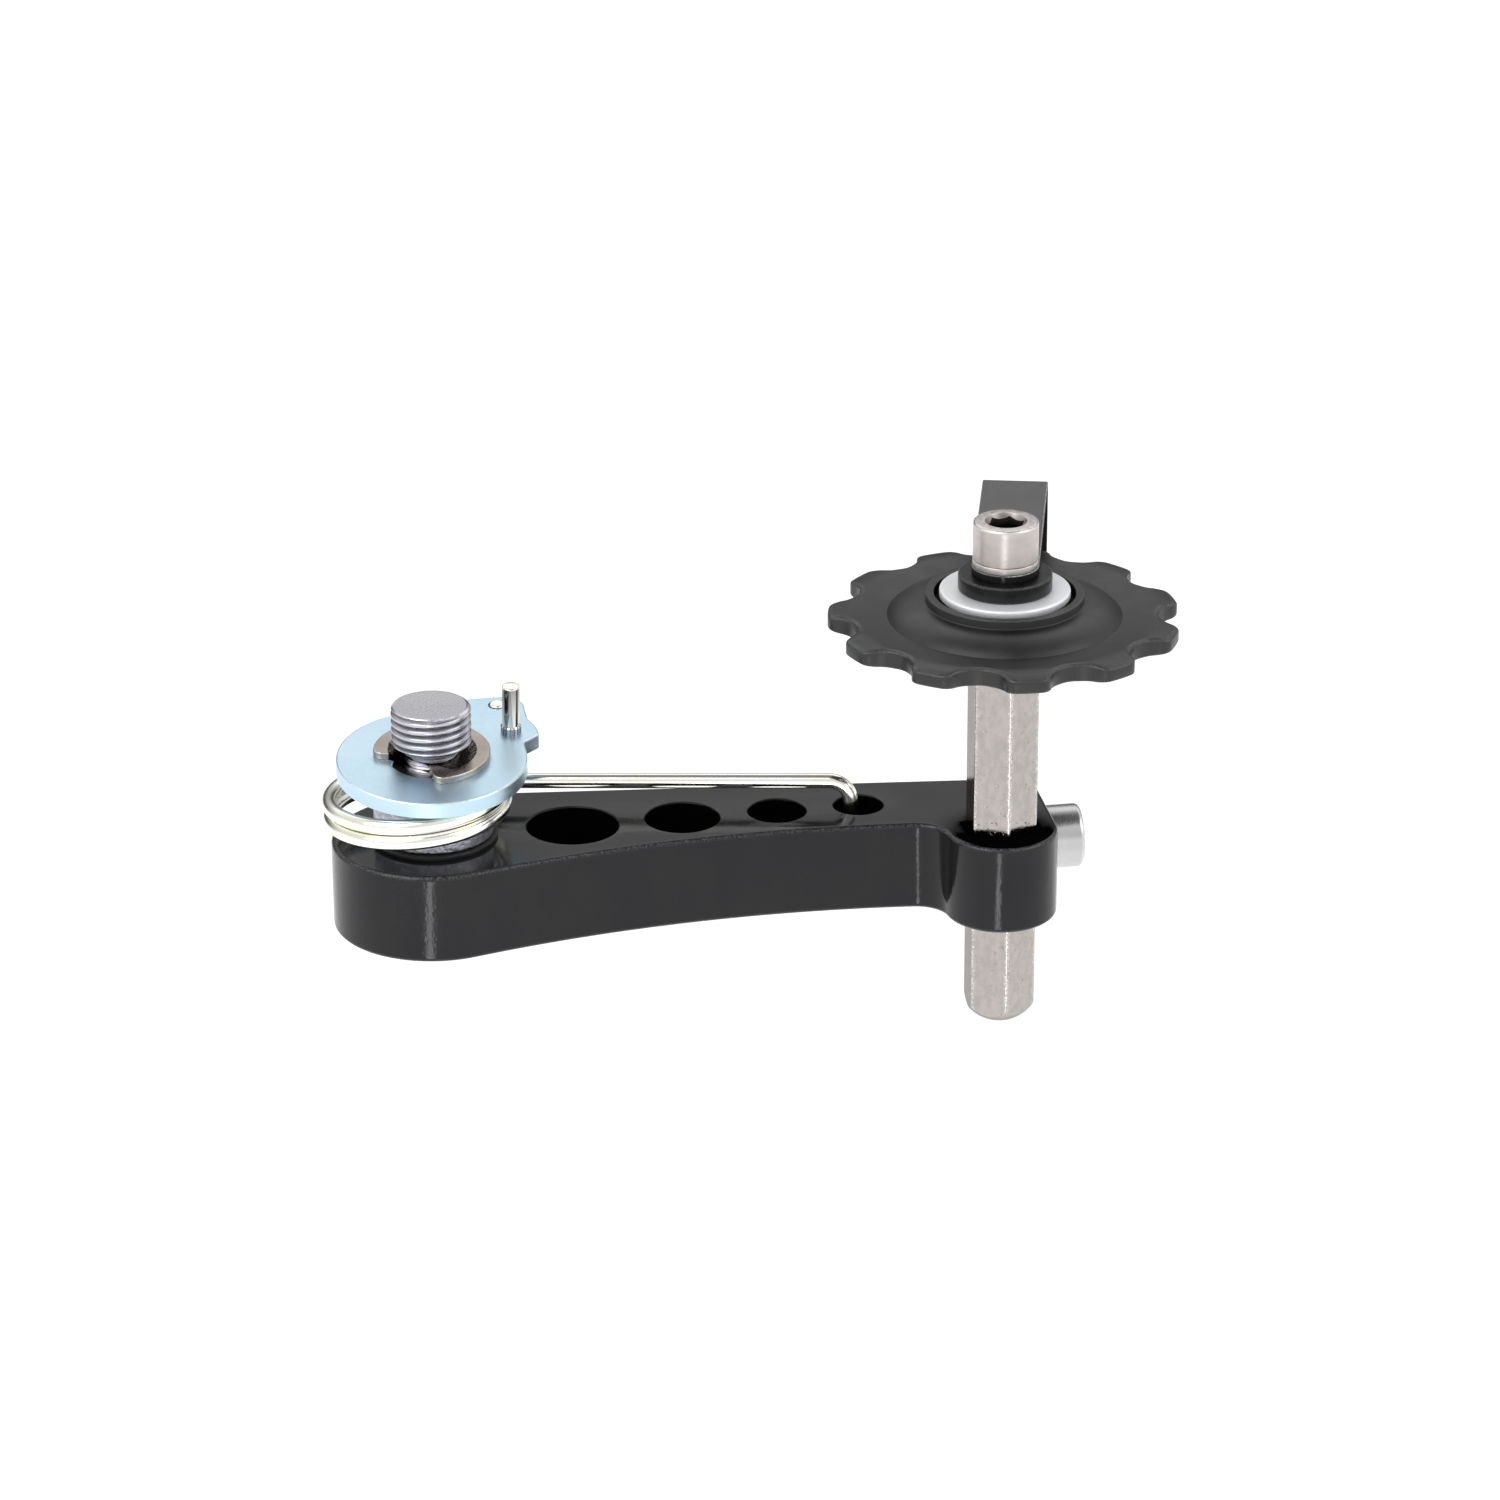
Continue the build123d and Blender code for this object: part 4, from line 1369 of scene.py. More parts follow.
        # The end of the coil and the corner of the tail settle on each other in a few rounds
        for _ in range(6):
            corner = tail - up * stand
            bearing = acos(self.coil_radius / hypot(corner.x, corner.y))
            last = atan2(corner.y, corner.x) - bearing + 2 * pi * self.coil_rounds
            tail_reach = sqrt(corner.x ** 2 + corner.y ** 2 - self.coil_radius ** 2)
            height = rise * (last - first)
            stand = (tail.z - height - slope * tail_reach) / up.z
        turns = [first + (last - first) * step / self.coil_steps for step in range(self.coil_steps + 1)]
        radius = self.coil_radius
        wound = [Vector((radius * cos(a), radius * sin(a), rise * (a - first))) for a in turns]
        tail_way = Vector((-sin(last), cos(last), slope))
        down = Vector((0, 0, -1))
        leg_corner = wound[0] + leg_way * reach
        leg_turn = leg_corner + down * self.leg_bend
        leg_stop = leg_corner - leg_way.normalized() * self.leg_bend
        tail_corner = wound[-1] + tail_way * tail_reach
        tail_stop = tail_corner - tail_way.normalized() * self.tail_bend
        ends = [WIRE_END * (1 - cos(pi / 2 * step / 5)) for step in range(6)]
        leg_end = leg_corner + down * (self.leg_depth + self.coil_base)
        line = [leg_end - down * step for step in ends]
        line += bend_arc(leg_turn, leg_corner, leg_stop)
        line += wound
        line += bend_arc(tail_stop, tail_corner, tail_corner + up * self.tail_bend)
        line += [tail - up * step for step in reversed(ends)]
        return [coil @ point for point in line]

    def spring(self) -> None:
        """The torsion spring, which winds up between the arm and the plate.

        Its points are laid out straight by their places along the wire while its placement is baked into
        the mesh, and then put back.
        """
        tree = swept_wire(YELLOW_ZINC, self.wire_radius, self.wire_sides)
        line = self.wire_line()
        piece = tidy_normals(tree.grow("coil_spring", line_mesh("wire_line", line)), SOFT_CREASE)
        points = piece.data.vertices
        shape = [point.co.copy() for point in points]
        for point, place in zip(points, stations(line, shape)):
            point.co = (0, 0, place)
        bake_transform(piece)
        for point, place in zip(points, shape):
            point.co = place
        piece.data.update()
        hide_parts("torsion_spring")
        LOG.info("%s winds between arm and plate, %d faces", piece.name, len(piece.data.polygons))


def stations(line: Sequence[Vector], points: Sequence[Vector]) -> list[float]:
    """How far along a wire each point of its skin lies.

    Args:
        line: Centre line of the wire, in millimetres.
        points: Points of the skin, in metres.

    Returns:
        For each point, the number of the nearest place on the line, with its fraction.
    """
    places = []
    for number, (here, following) in enumerate(zip(line, line[1:])):
        steps = max(1, round((following - here).length / STATION_STEP))
        for share in (step / steps for step in range(steps)):
            places.append((here.lerp(following, share) * MM, number + share))
    places.append((line[-1] * MM, len(line) - 1.0))
    finder = KDTree(len(places))
    for index, (spot, _) in enumerate(places):
        finder.insert(spot, index)
    finder.balance()
    return [places[finder.find(point)[1]][1] for point in points]


def place_in_metres(place: Matrix) -> Matrix:
    """The same placement for a mesh in metres.

    Args:
        place: A placement in millimetres.

    Returns:
        The placement in metres.
    """
    moved = place.copy()
    moved.translation = place.translation * MM
    return moved


def arc_points(radius: float, start: float, stop: float, steps: int) -> list[Vector]:
    """Points on an arc about the origin, with both ends."""
    return [Vector((radius * cos(a), radius * sin(a)))
            for a in (start + (stop - start) * step / steps for step in range(steps + 1))]


def soften(outline: Sequence[Vector], rounding: float) -> list[Vector]:
    """Round the sharp corners of a closed outline.

    Args:
        outline: Points of the outline in order.
        rounding: Most that is cut off each side of a corner.

    Returns:
        The outline with its corners rounded.
    """
    made: list[Vector] = []
    for place, here in enumerate(outline):
        before = outline[place - 1] - here
        after = outline[(place + 1) % len(outline)] - here
        turn = pi - before.angle(after, pi)
        if turn < radians(CORNER_TURN):
            made.append(here)
            continue
        start = here + before.normalized() * min(rounding, before.length * CORNER_SHARE)
        stop = here + after.normalized() * min(rounding, after.length * CORNER_SHARE)
        made += [bow(start, here, stop, step / CORNER_STEPS) for step in range(CORNER_STEPS + 1)]
    return made


def inset(outline: Sequence[Vector], distance: float) -> list[Vector]:
    """Move an anticlockwise outline inwards by a small distance.

    Args:
        outline: Points of the outline in order.
        distance: How far it moves.

    Returns:
        The moved outline.
    """
    made = []
    for place, here in enumerate(outline):
        before = (here - outline[place - 1]).normalized()
        after = (outline[(place + 1) % len(outline)] - here).normalized()
        normal = Vector((-before.y - after.y, before.x + after.x))
        normal.normalize()
        stretch = max(normal.dot(Vector((-before.y, before.x))), 0.5)
        made.append(here + normal * (distance / stretch))
    return made


def rounded_plate(outline: Sequence[Vector], low: float, high: float, edge: float, steps: int = 3) -> Draft:
    """A flat plate with rounded rims on an outline.

    Args:
        outline: Anticlockwise outline of the plate.
        low: Height of its lower face.
        high: Height of its upper face.
        edge: Radius of its rims.
        steps: Steps round a rim.

    Returns:
        The plate.
    """
    rings = []
    for side, height in ((-1, low), (1, high)):
        for step in range(steps + 1):
            turn = pi / 2 * (step / steps if side > 0 else 1 - step / steps)
            ring = inset(outline, edge * (1 - cos(turn)))
            level = height - side * edge * (1 - sin(turn))
            rings.append([(Vector((point.x, point.y, level)), sin(2 * turn)) for point in ring])
    return Draft().loft(rings)


@dataclass
class ClampedArm:
    """The pierced arm and the pinch screw of its clamp."""

    screw_radius: float = 2.45
    head_radius: float = 4.0
    socket: float = 4.0
    socket_depth: float = 2.4
    head_height: float = 4.8
    edge: float = 0.65
    holes: tuple[tuple[float, float], ...] = ((17.28, 5.65), (31.04, 4.6), (42.96, 3.58), (53.25, 3.06))
    # Painted shade on the walls of the holes, and a fading disc of painted shade and painted reflection
    # round the bar's foot on the boss
    hole_shade: float = 0.1
    bar_hole: tuple[float, float, float] = (69.45, -9.63, 5.3)
    bar_place: tuple[float, float] = (69.45, -12.0)
    bar_shade: float = 6.0
    bar_fade: float = 3.5

    def build(self) -> None:
        """Make and seat the arm and its screw."""
        painted_shades = [PaintedShade(place, 0.0, radius + self.hole_shade) for place, radius in self.holes]
        painted_shades += [PaintedShade(*self.bar_hole), PaintedShade(*self.bar_place, self.bar_shade, self.bar_fade)]
        seat(copy_of("arm", ARM_BLACK, UP, SOFT_CREASE, painted_shades), Body.ARM, Slot.ARM, "arm")
        low, high = span("clamp_screw")
        middle = (low + high) / 2
        seat_x = high.x - self.head_height
        place = Matrix.Translation((seat_x, middle.y, middle.z)) @ Matrix.Rotation(pi / 2, 4, "Y")
        rows = cap_head(self.screw_radius, seat_x - low.x, self.head_radius, self.head_height, self.socket,
                        self.socket_depth, self.edge)
        screw = piece_of("pinch_screw", Draft().turned(rows), place, CLAMP_STEEL)
        seat(screw, Body.SCREW, Slot.SCREW, "clamp_screw")
        dress_node("lower_bush", NYLON)


def cap_head(shank: float, length: float, head: float, height: float, socket: float, depth: float,
             edge: float) -> list[Row]:
    """Rows of a socket cap screw that points down with its head on the XY plane.

    Args:
        shank: Radius of the shank.
        length: Length under the head.
        head: Radius of the head.
        height: Height of the head.
        socket: Width of the socket across flats.
        depth: Depth of the socket.
        edge: Bevel of the head.

    Returns:
        The rows from the tip up to the socket's floor.
    """
    mouth = socket * SOCKET_MOUTH
    rows = section((0, -length, 0), (shank - edge, -length, 0), (shank, -length + edge, 0.1), (shank, 0, 0),
                   (head, 0, 0.15), (head, height, edge), (mouth, height, 0))
    rows = [Row(row.radius, row.height, 0.6) if row.height > height - 0.01 else row for row in rows]
    walls = six_sided(socket)
    # Painted shade: the countersunk cone is darkened, and the socket's walls and floor are painted black
    rows += [Row(mouth - 0.05, height - 0.05, -0.25),
             Row(walls, lambda angle: height - (mouth - walls(angle)) * SOCKET_SLOPE, -0.35),
             Row(walls, height - depth * 0.7, BLACK), Row(walls, height - depth, BLACK),
             Row(0, height - depth - 0.4, BLACK)]
    return rows


def dress_node(node: str, finish: Finish) -> None:
    """Give a CAD node that stays in view its finish.

    Args:
        node: Name of the node.
        finish: Its finish.
    """
    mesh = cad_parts[node].data
    mesh.materials.clear()
    mesh.materials.append(finish.material())
    LOG.info("%s keeps its solid, dressed in %s", node, finish.name)


@dataclass
class PulleyStack:
    """The hexagon bar with the toothed wheel, its bearing stack and the chain guide."""

    hex_flats: float = 8.0
    hex_rounding: float = 0.25
    hex_crease: float = 50.0
    ridge_width: float = 0.22
    ridge_fade: float = 0.16
    end_radius: float = 5.2
    end_steps: int = 30
    end_blend: float = 0.12
    bar_levels: int = 6
    bar_bevel: float = 0.8
    bore_depth: float = 10.0
    bolt_radius: float = 2.45
    bore: float = 2.5
    head_radius: float = 4.0
    head_height: float = 4.85
    head_edge: float = 0.4
    socket: float = 4.0
    socket_depth: float = 2.2
    socket_turn: float = 6.0
    teeth: int = 11
    chain_pitch: float = 12.7
    roller_seat: float = 3.8
    tip_radius: float = 21.55
    tip_corner: float = 1.4
    tooth_direction: float = -94.0
    rim_thickness: float = 2.5
    tip_thickness: float = 2.0
    bevel_start: float = 19.0
    crease_thickness: float = 1.45
    dome_radius: float = 14.35
    dome_height: float = 1.25
    dome_bulge: float = 0.35
    lip_outer: float = 9.65
    lip_inner: float = 8.65
    lip_foot: float = 0.6
    web_radii: tuple[float, ...] = (15.2, 16.2, 17.2)
    wheel_crease: float = 38.0
    recess: float = 1.0
    wheel_bore: float = 4.05
    cap_spare: float = 0.1
    cap_sheet: float = 0.45
    spacer_edge: float = 0.28
    tooth_edge: float = 0.4
    guide_width: float = 8.2
    guide_thickness: float = 1.0
    guide_bend: float = 1.2
    guide_direction: float = 75.5
    guide_reach: float = 30.4
    guide_corner: float = 1.5
    guide_edge: float = 0.14
    lock_edge: float = 0.1
    lock_spare: float = 0.01
    lock_split: float = 7.0
    lock_direction: float = 80.0

    def __post_init__(self) -> None:
        """Find the axis of the bar."""
        low, high = span("hex_axle")
        self.axis = Matrix.Translation(((low.x + high.x) / 2, (low.y + high.y) / 2, 0))
        self.bar_low, self.bar_top = low.z, high.z

    def build(self) -> None:
        """Make and seat every piece on the bar."""
        seat(self.bar(), Body.AXLE, Slot.HEX, "hex_axle")
        for node in ("lower_spacer", "upper_spacer"):
            seat(self.spacer(node), Body.AXLE, Slot.SPACER, node)
        seat(self.cap("upper_dust_cap", 1), Body.AXLE, Slot.CAP, "upper_dust_cap")
        seat(self.cap("lower_dust_cap", -1), Body.AXLE, Slot.CAP, "lower_dust_cap")
        dress_node("pulley_bush", BEARING_STEEL)
        seat(self.wheel(), Body.PULLEY, Slot.WHEEL, "pulley_wheel")
        seat(self.guide(), Body.GUIDE, Slot.GUIDE, "chain_guide")
        seat(self.lock(), Body.AXLE, Slot.SCREW, "lock_washer")
        seat(self.bolt(), Body.AXLE, Slot.SCREW, "pulley_bolt")

    def bar(self) -> Piece:
        """The drawn hexagon bar with its domed lower end."""
        outline = six_sided(self.hex_flats, 30.0, self.hex_rounding)
        corner = self.hex_flats / sqrt(3)
        middle = self.bar_low + self.end_radius
        rows = [Row(0, self.bar_low)]
        for turn in quarter(self.end_steps):
            limit = self.end_radius * sin(turn)
            rows.append(Row(lambda a, most=limit: soft_least(outline(a), most, self.end_blend),
                            middle - self.end_radius * cos(turn)))
        straight = self.bar_top - self.bar_bevel - middle
        for step in range(1, self.bar_levels + 1):
            rows.append(Row(outline, middle + straight * step / self.bar_levels))
        for limit, height in ((corner - 0.05, self.bar_top - 0.55), (corner - 0.5, self.bar_top)):
            rows.append(Row(lambda a, most=limit: min(outline(a), most), height))
        floor = self.bar_top - self.bore_depth
        rows += [Row(self.bore, self.bar_top), Row(self.bore, floor), Row(0, floor - 1)]
        draft = Draft().turned(rows, sides=240)
        self.mark_ridges(draft, corner)
        return piece_of("hex_bar", draft, self.axis, HEX_NICKEL, self.hex_crease)

    def mark_ridges(self, draft: Draft, corner: float) -> None:
        """Give the bar's long edges their wear.

        Args:
            draft: The bar.
            corner: Radius of its corners before they are rounded.
        """
        for place, point in enumerate(draft.points):
            excess = hypot(point.x, point.y) - (corner - self.ridge_width)
            draft.wear_and_shade[place] = max(0.0, min(1.0, excess / self.ridge_fade))

    def spacer(self, node: str) -> Piece:
        """A turned spacer of the stack."""
        draft = Draft().turned(collar(node, self.bore, self.spacer_edge), closed=True)
        return piece_of(node + "_turned", draft, self.axis, SPACER_PLASTIC)

    def cap(self, node: str, side: int) -> Piece:
        """A pressed dust cap, its skirt towards the wheel.

        Args:
            node: Name of the node.
            side: 1 for the upper cap, -1 for the lower one.

        Returns:
            The cap.
        """
        low, high = span(node)
        radius = outer_radius(node) - self.cap_spare
        face, rim = (high.z, low.z) if side > 0 else (low.z, high.z)
        inside = face - side * self.cap_sheet
        inner = radius - self.cap_sheet
        rows = section((self.bore, face, 0), (radius, face, 0.3), (radius, rim, 0.06), (inner, rim, 0.06),
                       (inner, inside, 0.12), (self.bore, inside, 0), steps=5)
        draft = Draft().turned(rows, sides=120, closed=True)
        return piece_of(node + "_pressed", draft, self.axis, CAP_ZINC)

    def lock(self) -> Piece:
        """The split lock washer under the bolt's head."""
        rows = collar("lock_washer", self.bore, self.lock_edge, self.lock_spare)
        start = radians(self.lock_direction)
        gap = radians(self.lock_split)
        draft = Draft().turned(rows, closed=True, arc=(start + gap / 2, start + 2 * pi - gap / 2))
        return piece_of("split_washer", draft, self.axis, SCREW_STEEL)

    def bolt(self) -> Piece:
        """The cap bolt that holds the stack on the bar."""
        low, high = span("pulley_bolt")
        seat_z = high.z - self.head_height
        rows = cap_head(self.bolt_radius, seat_z - low.z, self.head_radius, self.head_height, self.socket,
                        self.socket_depth, self.head_edge)
        turn = Matrix.Rotation(radians(self.socket_turn), 4, "Z")
        place = self.axis @ Matrix.Translation((0, 0, seat_z)) @ turn
        return piece_of("pulley_cap_bolt", Draft().turned(rows, sides=120), place, SCREW_STEEL)

    def tooth_line(self) -> list[tuple[float, float]]:
        """Angle and radius along the rim from one valley to the next, a tooth in the middle."""
        tip = self.tip_radius
        half = pi / self.teeth
        pitch = self.chain_pitch / 2 / sin(half)
        seat_r, corner = self.roller_seat, self.tip_corner
        inner = tip - corner
        aside = acos((inner ** 2 + pitch ** 2 - (seat_r + corner) ** 2) / (2 * inner * pitch))
        valley = Vector((pitch, 0))
        knee = Vector((inner * cos(aside), inner * sin(aside)))
        toward = knee - valley
        valley_end = atan2(toward.y, toward.x)
        line = [valley + point for point in arc_points(seat_r, pi, valley_end, 12)]
        start = valley_end + pi
        start -= 2 * pi if start > pi else 0.0
        line += [knee + point for point in arc_points(corner, start, aside, 7)[1:]]
        line += arc_points(tip, aside, half, 5)[1:]
        ahead = [(atan2(point.y, point.x) - half, point.length) for point in line]
        return ahead + [(-angle, radius) for angle, radius in reversed(ahead[:-1])]

    def wheel_rows(self, rim: float) -> list[tuple[float, float, float]]:
        """Section of the wheel's upper half, out to its rim.

        Args:
            rim: Radius of the rim at this section.

        Returns:
            Radius, height and wear of each point; the recess round the bore carries painted shade.
        """
        half = self.rim_thickness / 2
        dome = half + self.dome_height
        low, high = span("pulley_wheel")
        lip = (high.z - low.z) / 2
        floor = lip - self.recess
        crease = self.crease_thickness / 2
        inner, outer = self.lip_inner, self.lip_outer
        foot = (outer + self.lip_foot, dome - 0.05)
        # The floor and the inner wall of the recess round the bore carry painted shade
        rows = [(self.wheel_bore, floor, BLACK), (inner, floor, BLACK), (inner, lip - 0.4, -0.8)]
        lip_rows = section((inner, floor, 0), (inner, lip, 0.16), (outer, lip, 0.2),
                           (outer, dome + 0.02, 0.12), (*foot, 0))
        for row in lip_rows[1:]:
            rows.append((row.radius, row.height, row.wear_and_shade if row.height > dome + 0.3 else 0.0))
        start = Vector(foot)
        stop = Vector((self.dome_radius, crease))
        middle = (start + stop) / 2 + Vector((self.dome_bulge, self.dome_bulge)) * 2
        for step in range(1, 9):
            rows.append((*bow(start, middle, stop, step / 8), 0.0))
        rise = (half - crease) / (self.bevel_start - self.dome_radius)
        fall = (half - self.tip_thickness / 2) / (self.tip_radius - self.bevel_start)

        def top(radius: float) -> float:
            """Height of the rim, which rises from the crease and is bevelled to the tips."""
            past = radius - self.bevel_start
            return half - 0.02 - (fall * past if past > 0 else -rise * past)

        edge = self.tooth_edge
        web = self.web_radii[-1]
        radii = [self.dome_radius + 0.2, *self.web_radii]
        radii += [web + (rim - 2 * edge - web) * step / 5 for step in range(1, 6)]
        rows += [(radius, top(radius), 0.0) for radius in radii]
        for turn in quarter(4):
            height = top(rim) - edge * (1 - cos(turn))
            rows.append((rim - 2 * edge * (1 - sin(turn)), height, sin(2 * turn)))
        return rows

    def wheel(self) -> Piece:
        """The toothed wheel, one tooth repeated round its hub."""
        draft = Draft()
        columns = []
        for angle, rim in self.tooth_line():
            upper = self.wheel_rows(rim)
            ring = upper + [(radius, -height, wear_and_shade) for radius, height, wear_and_shade in reversed(upper)]
            columns.append([draft.add((r * cos(angle), r * sin(angle), z), wear_and_shade) for r, z, wear_and_shade in ring])
        for first, second in zip(columns, columns[1:]):
            draft.bridge(first, second)
        tooth = mesh_of("wheel_tooth", draft)
        piece = ring_of(WHEEL_PLASTIC, self.teeth).grow("toothed_wheel", tooth)
        low, high = span("pulley_wheel")
        turn = Matrix.Rotation(radians(self.tooth_direction), 4, "Z")
        place = self.axis @ Matrix.Translation((0, 0, (low.z + high.z) / 2)) @ turn
        piece.data.transform(place_in_metres(place))
        close_up(piece.data)
        return tidy_normals(piece, self.wheel_crease)

    def guide(self) -> Piece:
        """The bent strip that keeps the chain on the wheel."""
        low, high = span("chain_guide")
        thick = self.guide_thickness
        half = self.guide_width / 2
        outer = self.guide_bend + thick
        flat_end = self.guide_reach - outer
        drop = high.z - thick - low.z
        middle = self.guide_bend + thick / 2
        places: list[tuple[Vector, Vector, float]] = []
        for turn in quarter(24):
            places.append((Vector((-half * cos(turn), 0, thick / 2)), UP, half * sin(turn)))
        for step in range(1, 9):
            places.append((Vector((flat_end * step / 8, 0, thick / 2)), UP, half))
        for turn in quarter(12):
            out = Vector((sin(turn), 0, cos(turn)))
            places.append((Vector((flat_end, 0, thick - outer)) + out * middle, out, half))
        side = Vector((1, 0, 0))
        leg_x = self.guide_reach - thick / 2
        leg_top = thick - outer
        straight = self.guide_corner - drop
        for step in range(1, 6):
            places.append((Vector((leg_x, 0, leg_top + (straight - leg_top) * step / 5)), side, half))
        for turn in quarter(10):
            width = half - self.guide_corner * (1 - cos(turn))
            places.append((Vector((leg_x, 0, straight - self.guide_corner * sin(turn))), side, width))
        rings = [strip_ring(point, normal, width, thick / 2, self.guide_edge)
                 for point, normal, width in places]
        turn = Matrix.Rotation(radians(self.guide_direction), 4, "Z")
        place = self.axis @ Matrix.Translation((0, 0, high.z - thick)) @ turn
        piece = piece_of("guide_strip", Draft().loft(rings), place, GUIDE_BLACK, SOFT_CREASE)
        return cut_bore(piece, self.bore, high.z - 2 * thick, high.z + thick, self.axis)


def quarter(steps: int) -> list[float]:
    """Angles of the steps of a quarter turn, without its start."""
    return [pi / 2 * step / steps for step in range(1, steps + 1)]


def soft_least(first: float, second: float, blend: float) -> float:
    """The lesser of two lengths, with a rounded change-over."""
    share = max(0.0, min(1.0, 0.5 + (second - first) / (2 * blend)))
    return second * (1 - share) + first * share - blend * share * (1 - share)


def strip_ring(point: Vector, normal: Vector, half_width: float, half_thick: float,
               edge: float) -> list[tuple[Vector, float]]:
    """Rounded cross-section of a strip.

    Args:
        point: Middle of the section.
        normal: Direction of the strip's thickness.
        half_width: Half of its width along Y.
        half_thick: Half of its thickness.
        edge: Radius of its four edges.

    Returns:
        Points of the ring with their wear; its lower face and side walls carry painted shade.
    """
    across = Vector((0, 1, 0))
    width = max(half_width - edge, 0.001)
    thick = half_thick - edge
    ring = []
    for quarter, (y, z) in enumerate(((1, 1), (-1, 1), (-1, -1), (1, -1))):
        for step in range(4):
            turn = pi / 2 * (quarter + step / 3)
            offset = across * (y * width + edge * cos(turn)) + normal * (z * thick + edge * sin(turn))
            rubbed = sin(pi * step / 3) * (STRIP_FAR_RUB if y > 0 else 1.0)
            # Painted shade on the lower face and the side walls of the strip
            deep = z < 0 or abs(sin(turn)) < 0.01
            ring.append((point + offset, STRIP_SHADE if deep else rubbed))
    return ring


@dataclass(frozen=True)
class Panel:
    """A soft light panel: its direction from the object in degrees, distance, size and watts."""

    name: str
    azimuth: float
    elevation: float
    distance: float
    size: tuple[float, float]
    power: float


PANELS = (Panel("key_panel", -55.0, 48.0, 900.0, (700.0, 700.0), 3.2),
          Panel("fill_panel", 62.0, 38.0, 1000.0, (700.0, 700.0), 2.0),
          Panel("back_panel", 170.0, 45.0, 1000.0, (1100.0, 500.0), 0.5),
          Panel("streak_panel", -14.4, -22.6, 1842.0, (214.0, 470.0), 1.5))
# Grey levels of the tent at its front and its back, by height from 0 at the foot to 1 at the crown
FRONT_LEVELS = ((0.0, 0.7), (0.48, 1.2), (0.56, 1.2), (0.62, 0.85), (0.7, 0.75), (0.9, 0.85), (0.96, 0.3),
                (1.0, 0.22))
BACK_LEVELS = ((0.0, 0.7), (0.46, 0.6), (0.52, 0.08), (0.6, 0.1), (0.66, 0.4), (0.7, 0.54), (0.75, 1.0),
               (0.87, 1.0), (0.94, 0.3), (1.0, 0.22))
FLOOR_GREY = (0.92, 0.92, 0.92, 1.0)
WHITE = (1.0, 1.0, 1.0, 1.0)


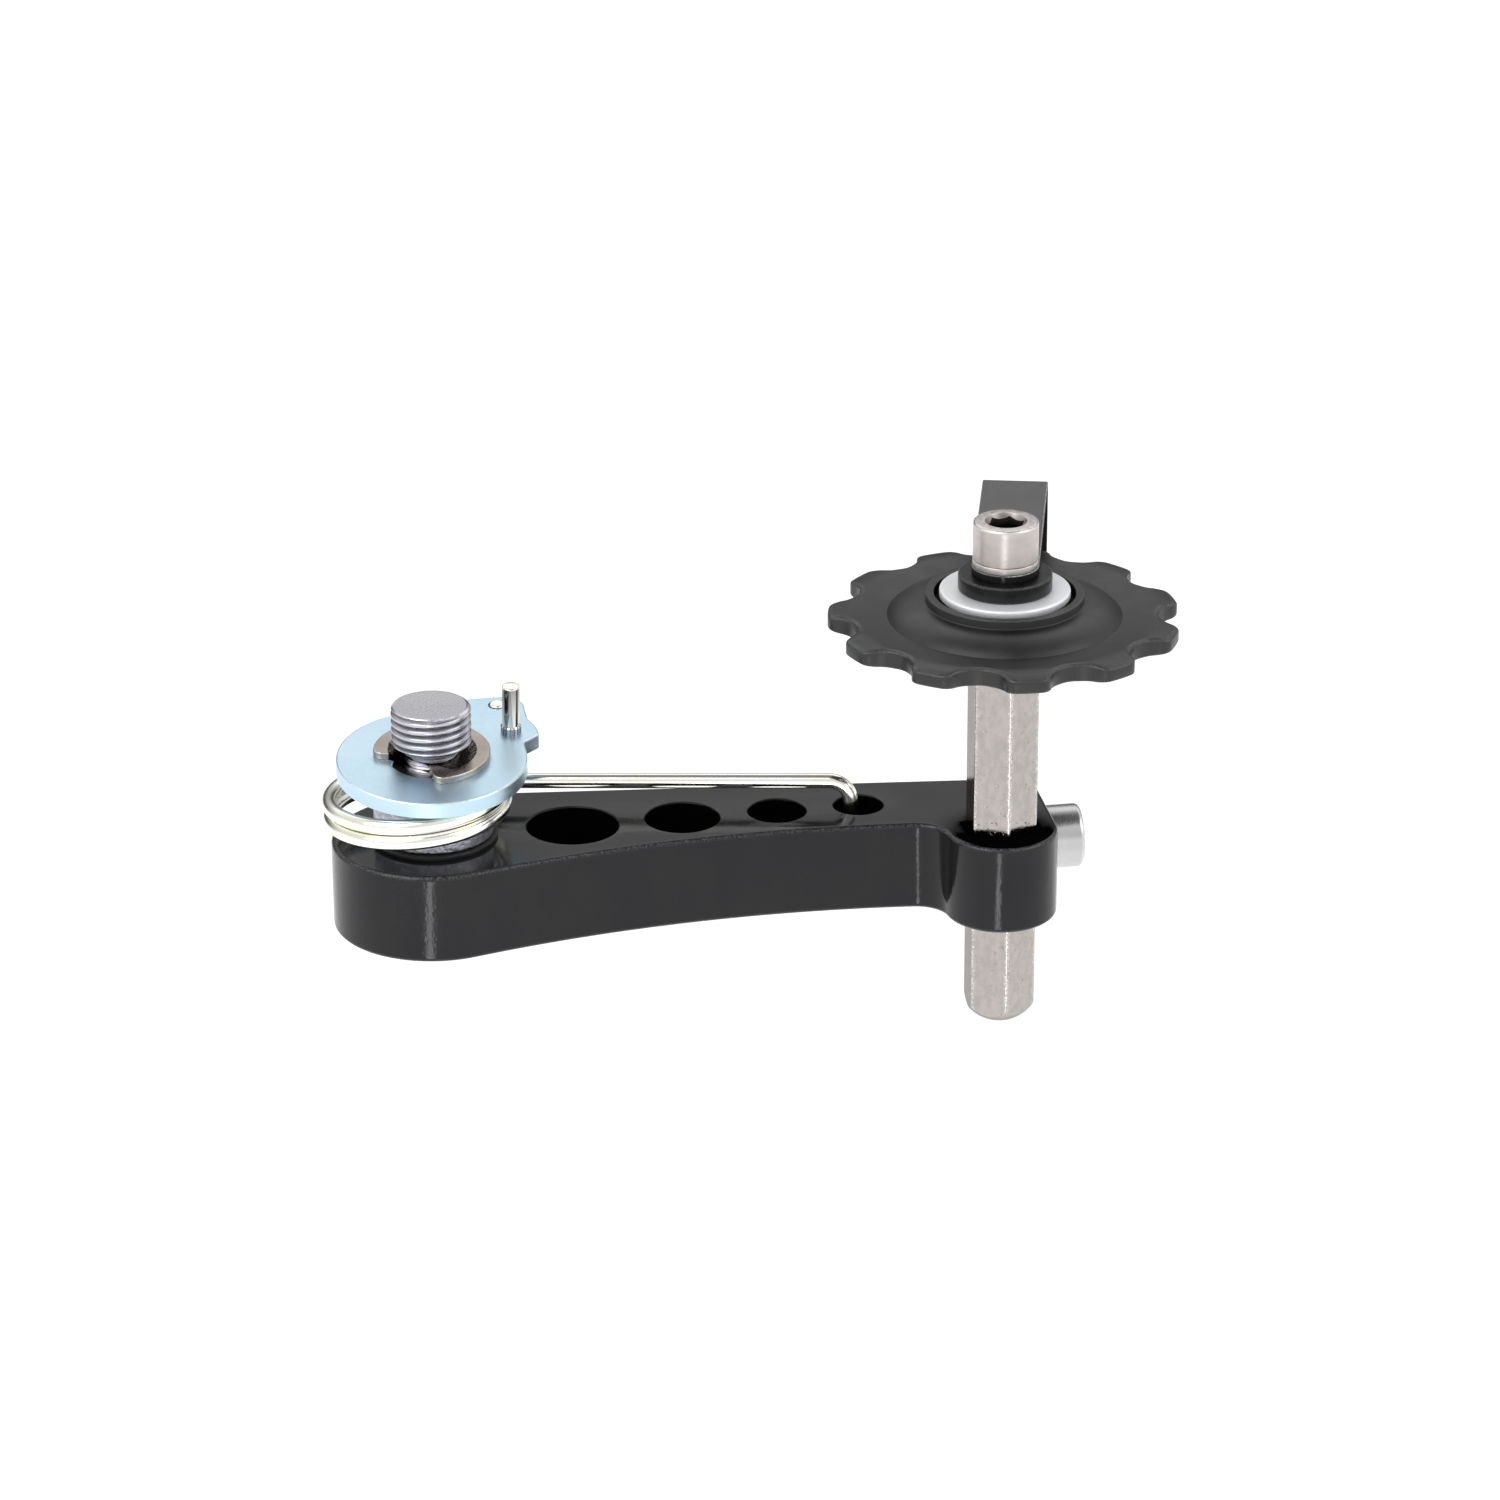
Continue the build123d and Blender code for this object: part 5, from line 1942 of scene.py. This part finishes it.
@dataclass
class Studio:
    """Pale floor, soft light and the camera of the picture."""

    azimuth: float = -9.636
    elevation: float = 23.445
    roll: float = -0.184
    distance: float = 741.655
    target: Triple = (42.843, 19.179, -12.425)
    focal_pixels: float = 5817.474
    picture_pixels: float = 1500.0
    sensor: float = 36.0
    floor_drop: float = 1000.0
    floor_size: float = 20000.0
    floor_glow: float = 0.5
    clip_range: tuple[float, float] = (0.01, 50.0)
    back_range: tuple[float, float] = (0.35, 0.8)

    def build(self) -> None:
        """Set the stage round the object."""
        self.floor()
        self.world()
        for panel in PANELS:
            self.panel(panel)
        self.camera()
        bpy.context.scene.view_settings.view_transform = "Standard"

    def way(self, azimuth: float, elevation: float) -> Vector:
        """Direction from the object at one azimuth and elevation, in degrees."""
        a, e = radians(azimuth), radians(elevation)
        return Vector((sin(a) * cos(e), -cos(a) * cos(e), sin(e)))

    def floor(self) -> None:
        """The pale floor under the held part."""
        low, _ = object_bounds()
        half = self.floor_size / 2 * MM
        level = low.z - self.floor_drop * MM
        mesh = bpy.data.meshes.new("floor")
        corners = [(-half, -half, level), (half, -half, level), (half, half, level), (-half, half, level)]
        mesh.from_pydata(corners, [], [(0, 1, 2, 3)])
        sheet = ShaderSheet("floor_white")
        sheet.set(Roughness=0.9, Specular_IOR_Level=0.1, Base_Color=FLOOR_GREY, Emission_Color=WHITE)
        path = sheet.add("ShaderNodeLightPath")
        seen = path.outputs["Is Camera Ray"]
        for kind in ("Is Glossy Ray", "Is Transmission Ray"):
            seen = sheet.reckon("ADD", seen, path.outputs[kind])
        sheet.feed(sheet.remap(seen, UNIT, (0.0, self.floor_glow)), "Emission Strength")
        mesh.materials.append(sheet.material)
        floor = put("floor", mesh)
        floor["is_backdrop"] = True

    def world(self) -> None:
        """A white tent with a dark gap low at its back and a darker crown."""
        world = bpy.data.worlds.new("tent")
        bpy.context.scene.world = world
        world.use_nodes = True
        tree = world.node_tree
        background = tree.nodes["Background"]
        coords = tree.nodes.new("ShaderNodeTexCoord")
        split = tree.nodes.new("ShaderNodeSeparateXYZ")
        tree.links.new(coords.outputs["Generated"], split.inputs[0])
        mix = tree.nodes.new("ShaderNodeMix")
        mix.data_type = "RGBA"
        for place, stops in ((MIX_FIRST, FRONT_LEVELS), (MIX_SECOND, BACK_LEVELS)):
            tree.links.new(self.levels(tree, split.outputs["Z"], stops), mix.inputs[place])
        turn = tree.nodes.new("ShaderNodeMapRange")
        turn.inputs["From Min"].default_value, turn.inputs["From Max"].default_value = self.back_range
        tree.links.new(split.outputs["Y"], turn.inputs["Value"])
        tree.links.new(turn.outputs["Result"], mix.inputs[0])
        tree.links.new(mix.outputs[MIX_RESULT], background.inputs["Color"])

    def levels(self, tree: bpy.types.NodeTree, height: Socket,
               stops: Sequence[tuple[float, float]]) -> Socket:
        """Grey levels of the tent from its foot to its crown.

        Args:
            tree: Node tree of the world.
            height: Upward share of the direction, from -1 to 1.
            stops: Places from 0 at the foot to 1 at the crown, each with its level.

        Returns:
            The grey.
        """
        lift = tree.nodes.new("ShaderNodeMapRange")
        lift.inputs["From Min"].default_value = -1.0
        tree.links.new(height, lift.inputs["Value"])
        ramp = tree.nodes.new("ShaderNodeValToRGB")
        tree.links.new(lift.outputs["Result"], ramp.inputs["Fac"])
        marks = ramp.color_ramp.elements
        while len(marks) < len(stops):
            marks.new(0.5)
        for mark, (place, level) in zip(marks, stops):
            mark.position = place
            mark.color = (level, level, level, 1.0)
        return ramp.outputs["Color"]

    def panel(self, panel: Panel) -> None:
        """Hang a soft light panel that faces the object.

        Args:
            panel: Its place, size and power.
        """
        light = bpy.data.lights.new(panel.name, "AREA")
        light.shape = "RECTANGLE"
        light.size, light.size_y = (length * MM for length in panel.size)
        light.energy = panel.power
        lamp = put(panel.name, light)
        back = self.way(panel.azimuth, panel.elevation)
        lamp.location = (Vector(self.target) + back * panel.distance) * MM
        lamp.rotation_mode = "QUATERNION"
        lamp.rotation_quaternion = back.to_track_quat("Z", "Y")
        lamp.visible_camera = False

    def camera(self) -> None:
        """The camera, at the place and focal length of the picture."""
        data = bpy.data.cameras.new("camera")
        data.sensor_width = self.sensor
        data.lens = self.focal_pixels / self.picture_pixels * self.sensor
        data.clip_start, data.clip_end = self.clip_range
        camera = put("camera", data)
        back = self.way(self.azimuth, self.elevation)
        right = Vector((cos(radians(self.azimuth)), sin(radians(self.azimuth)), 0))
        up = back.cross(right)
        turn = radians(self.roll)
        side = right * cos(turn) + up * sin(turn)
        top = up * cos(turn) - right * sin(turn)
        place = Matrix((side, top, back)).transposed().to_4x4()
        place.translation = (Vector(self.target) + back * self.distance) * MM
        camera.matrix_world = place
        bpy.context.scene.camera = camera


def main() -> None:
    """Build the sub-assemblies in order, then the studio."""
    logging.basicConfig(level=logging.INFO, format="%(message)s")
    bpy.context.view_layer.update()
    PivotStack().build()
    ClampedArm().build()
    PulleyStack().build()
    Studio().build()


if __name__ == "__main__":
    main()
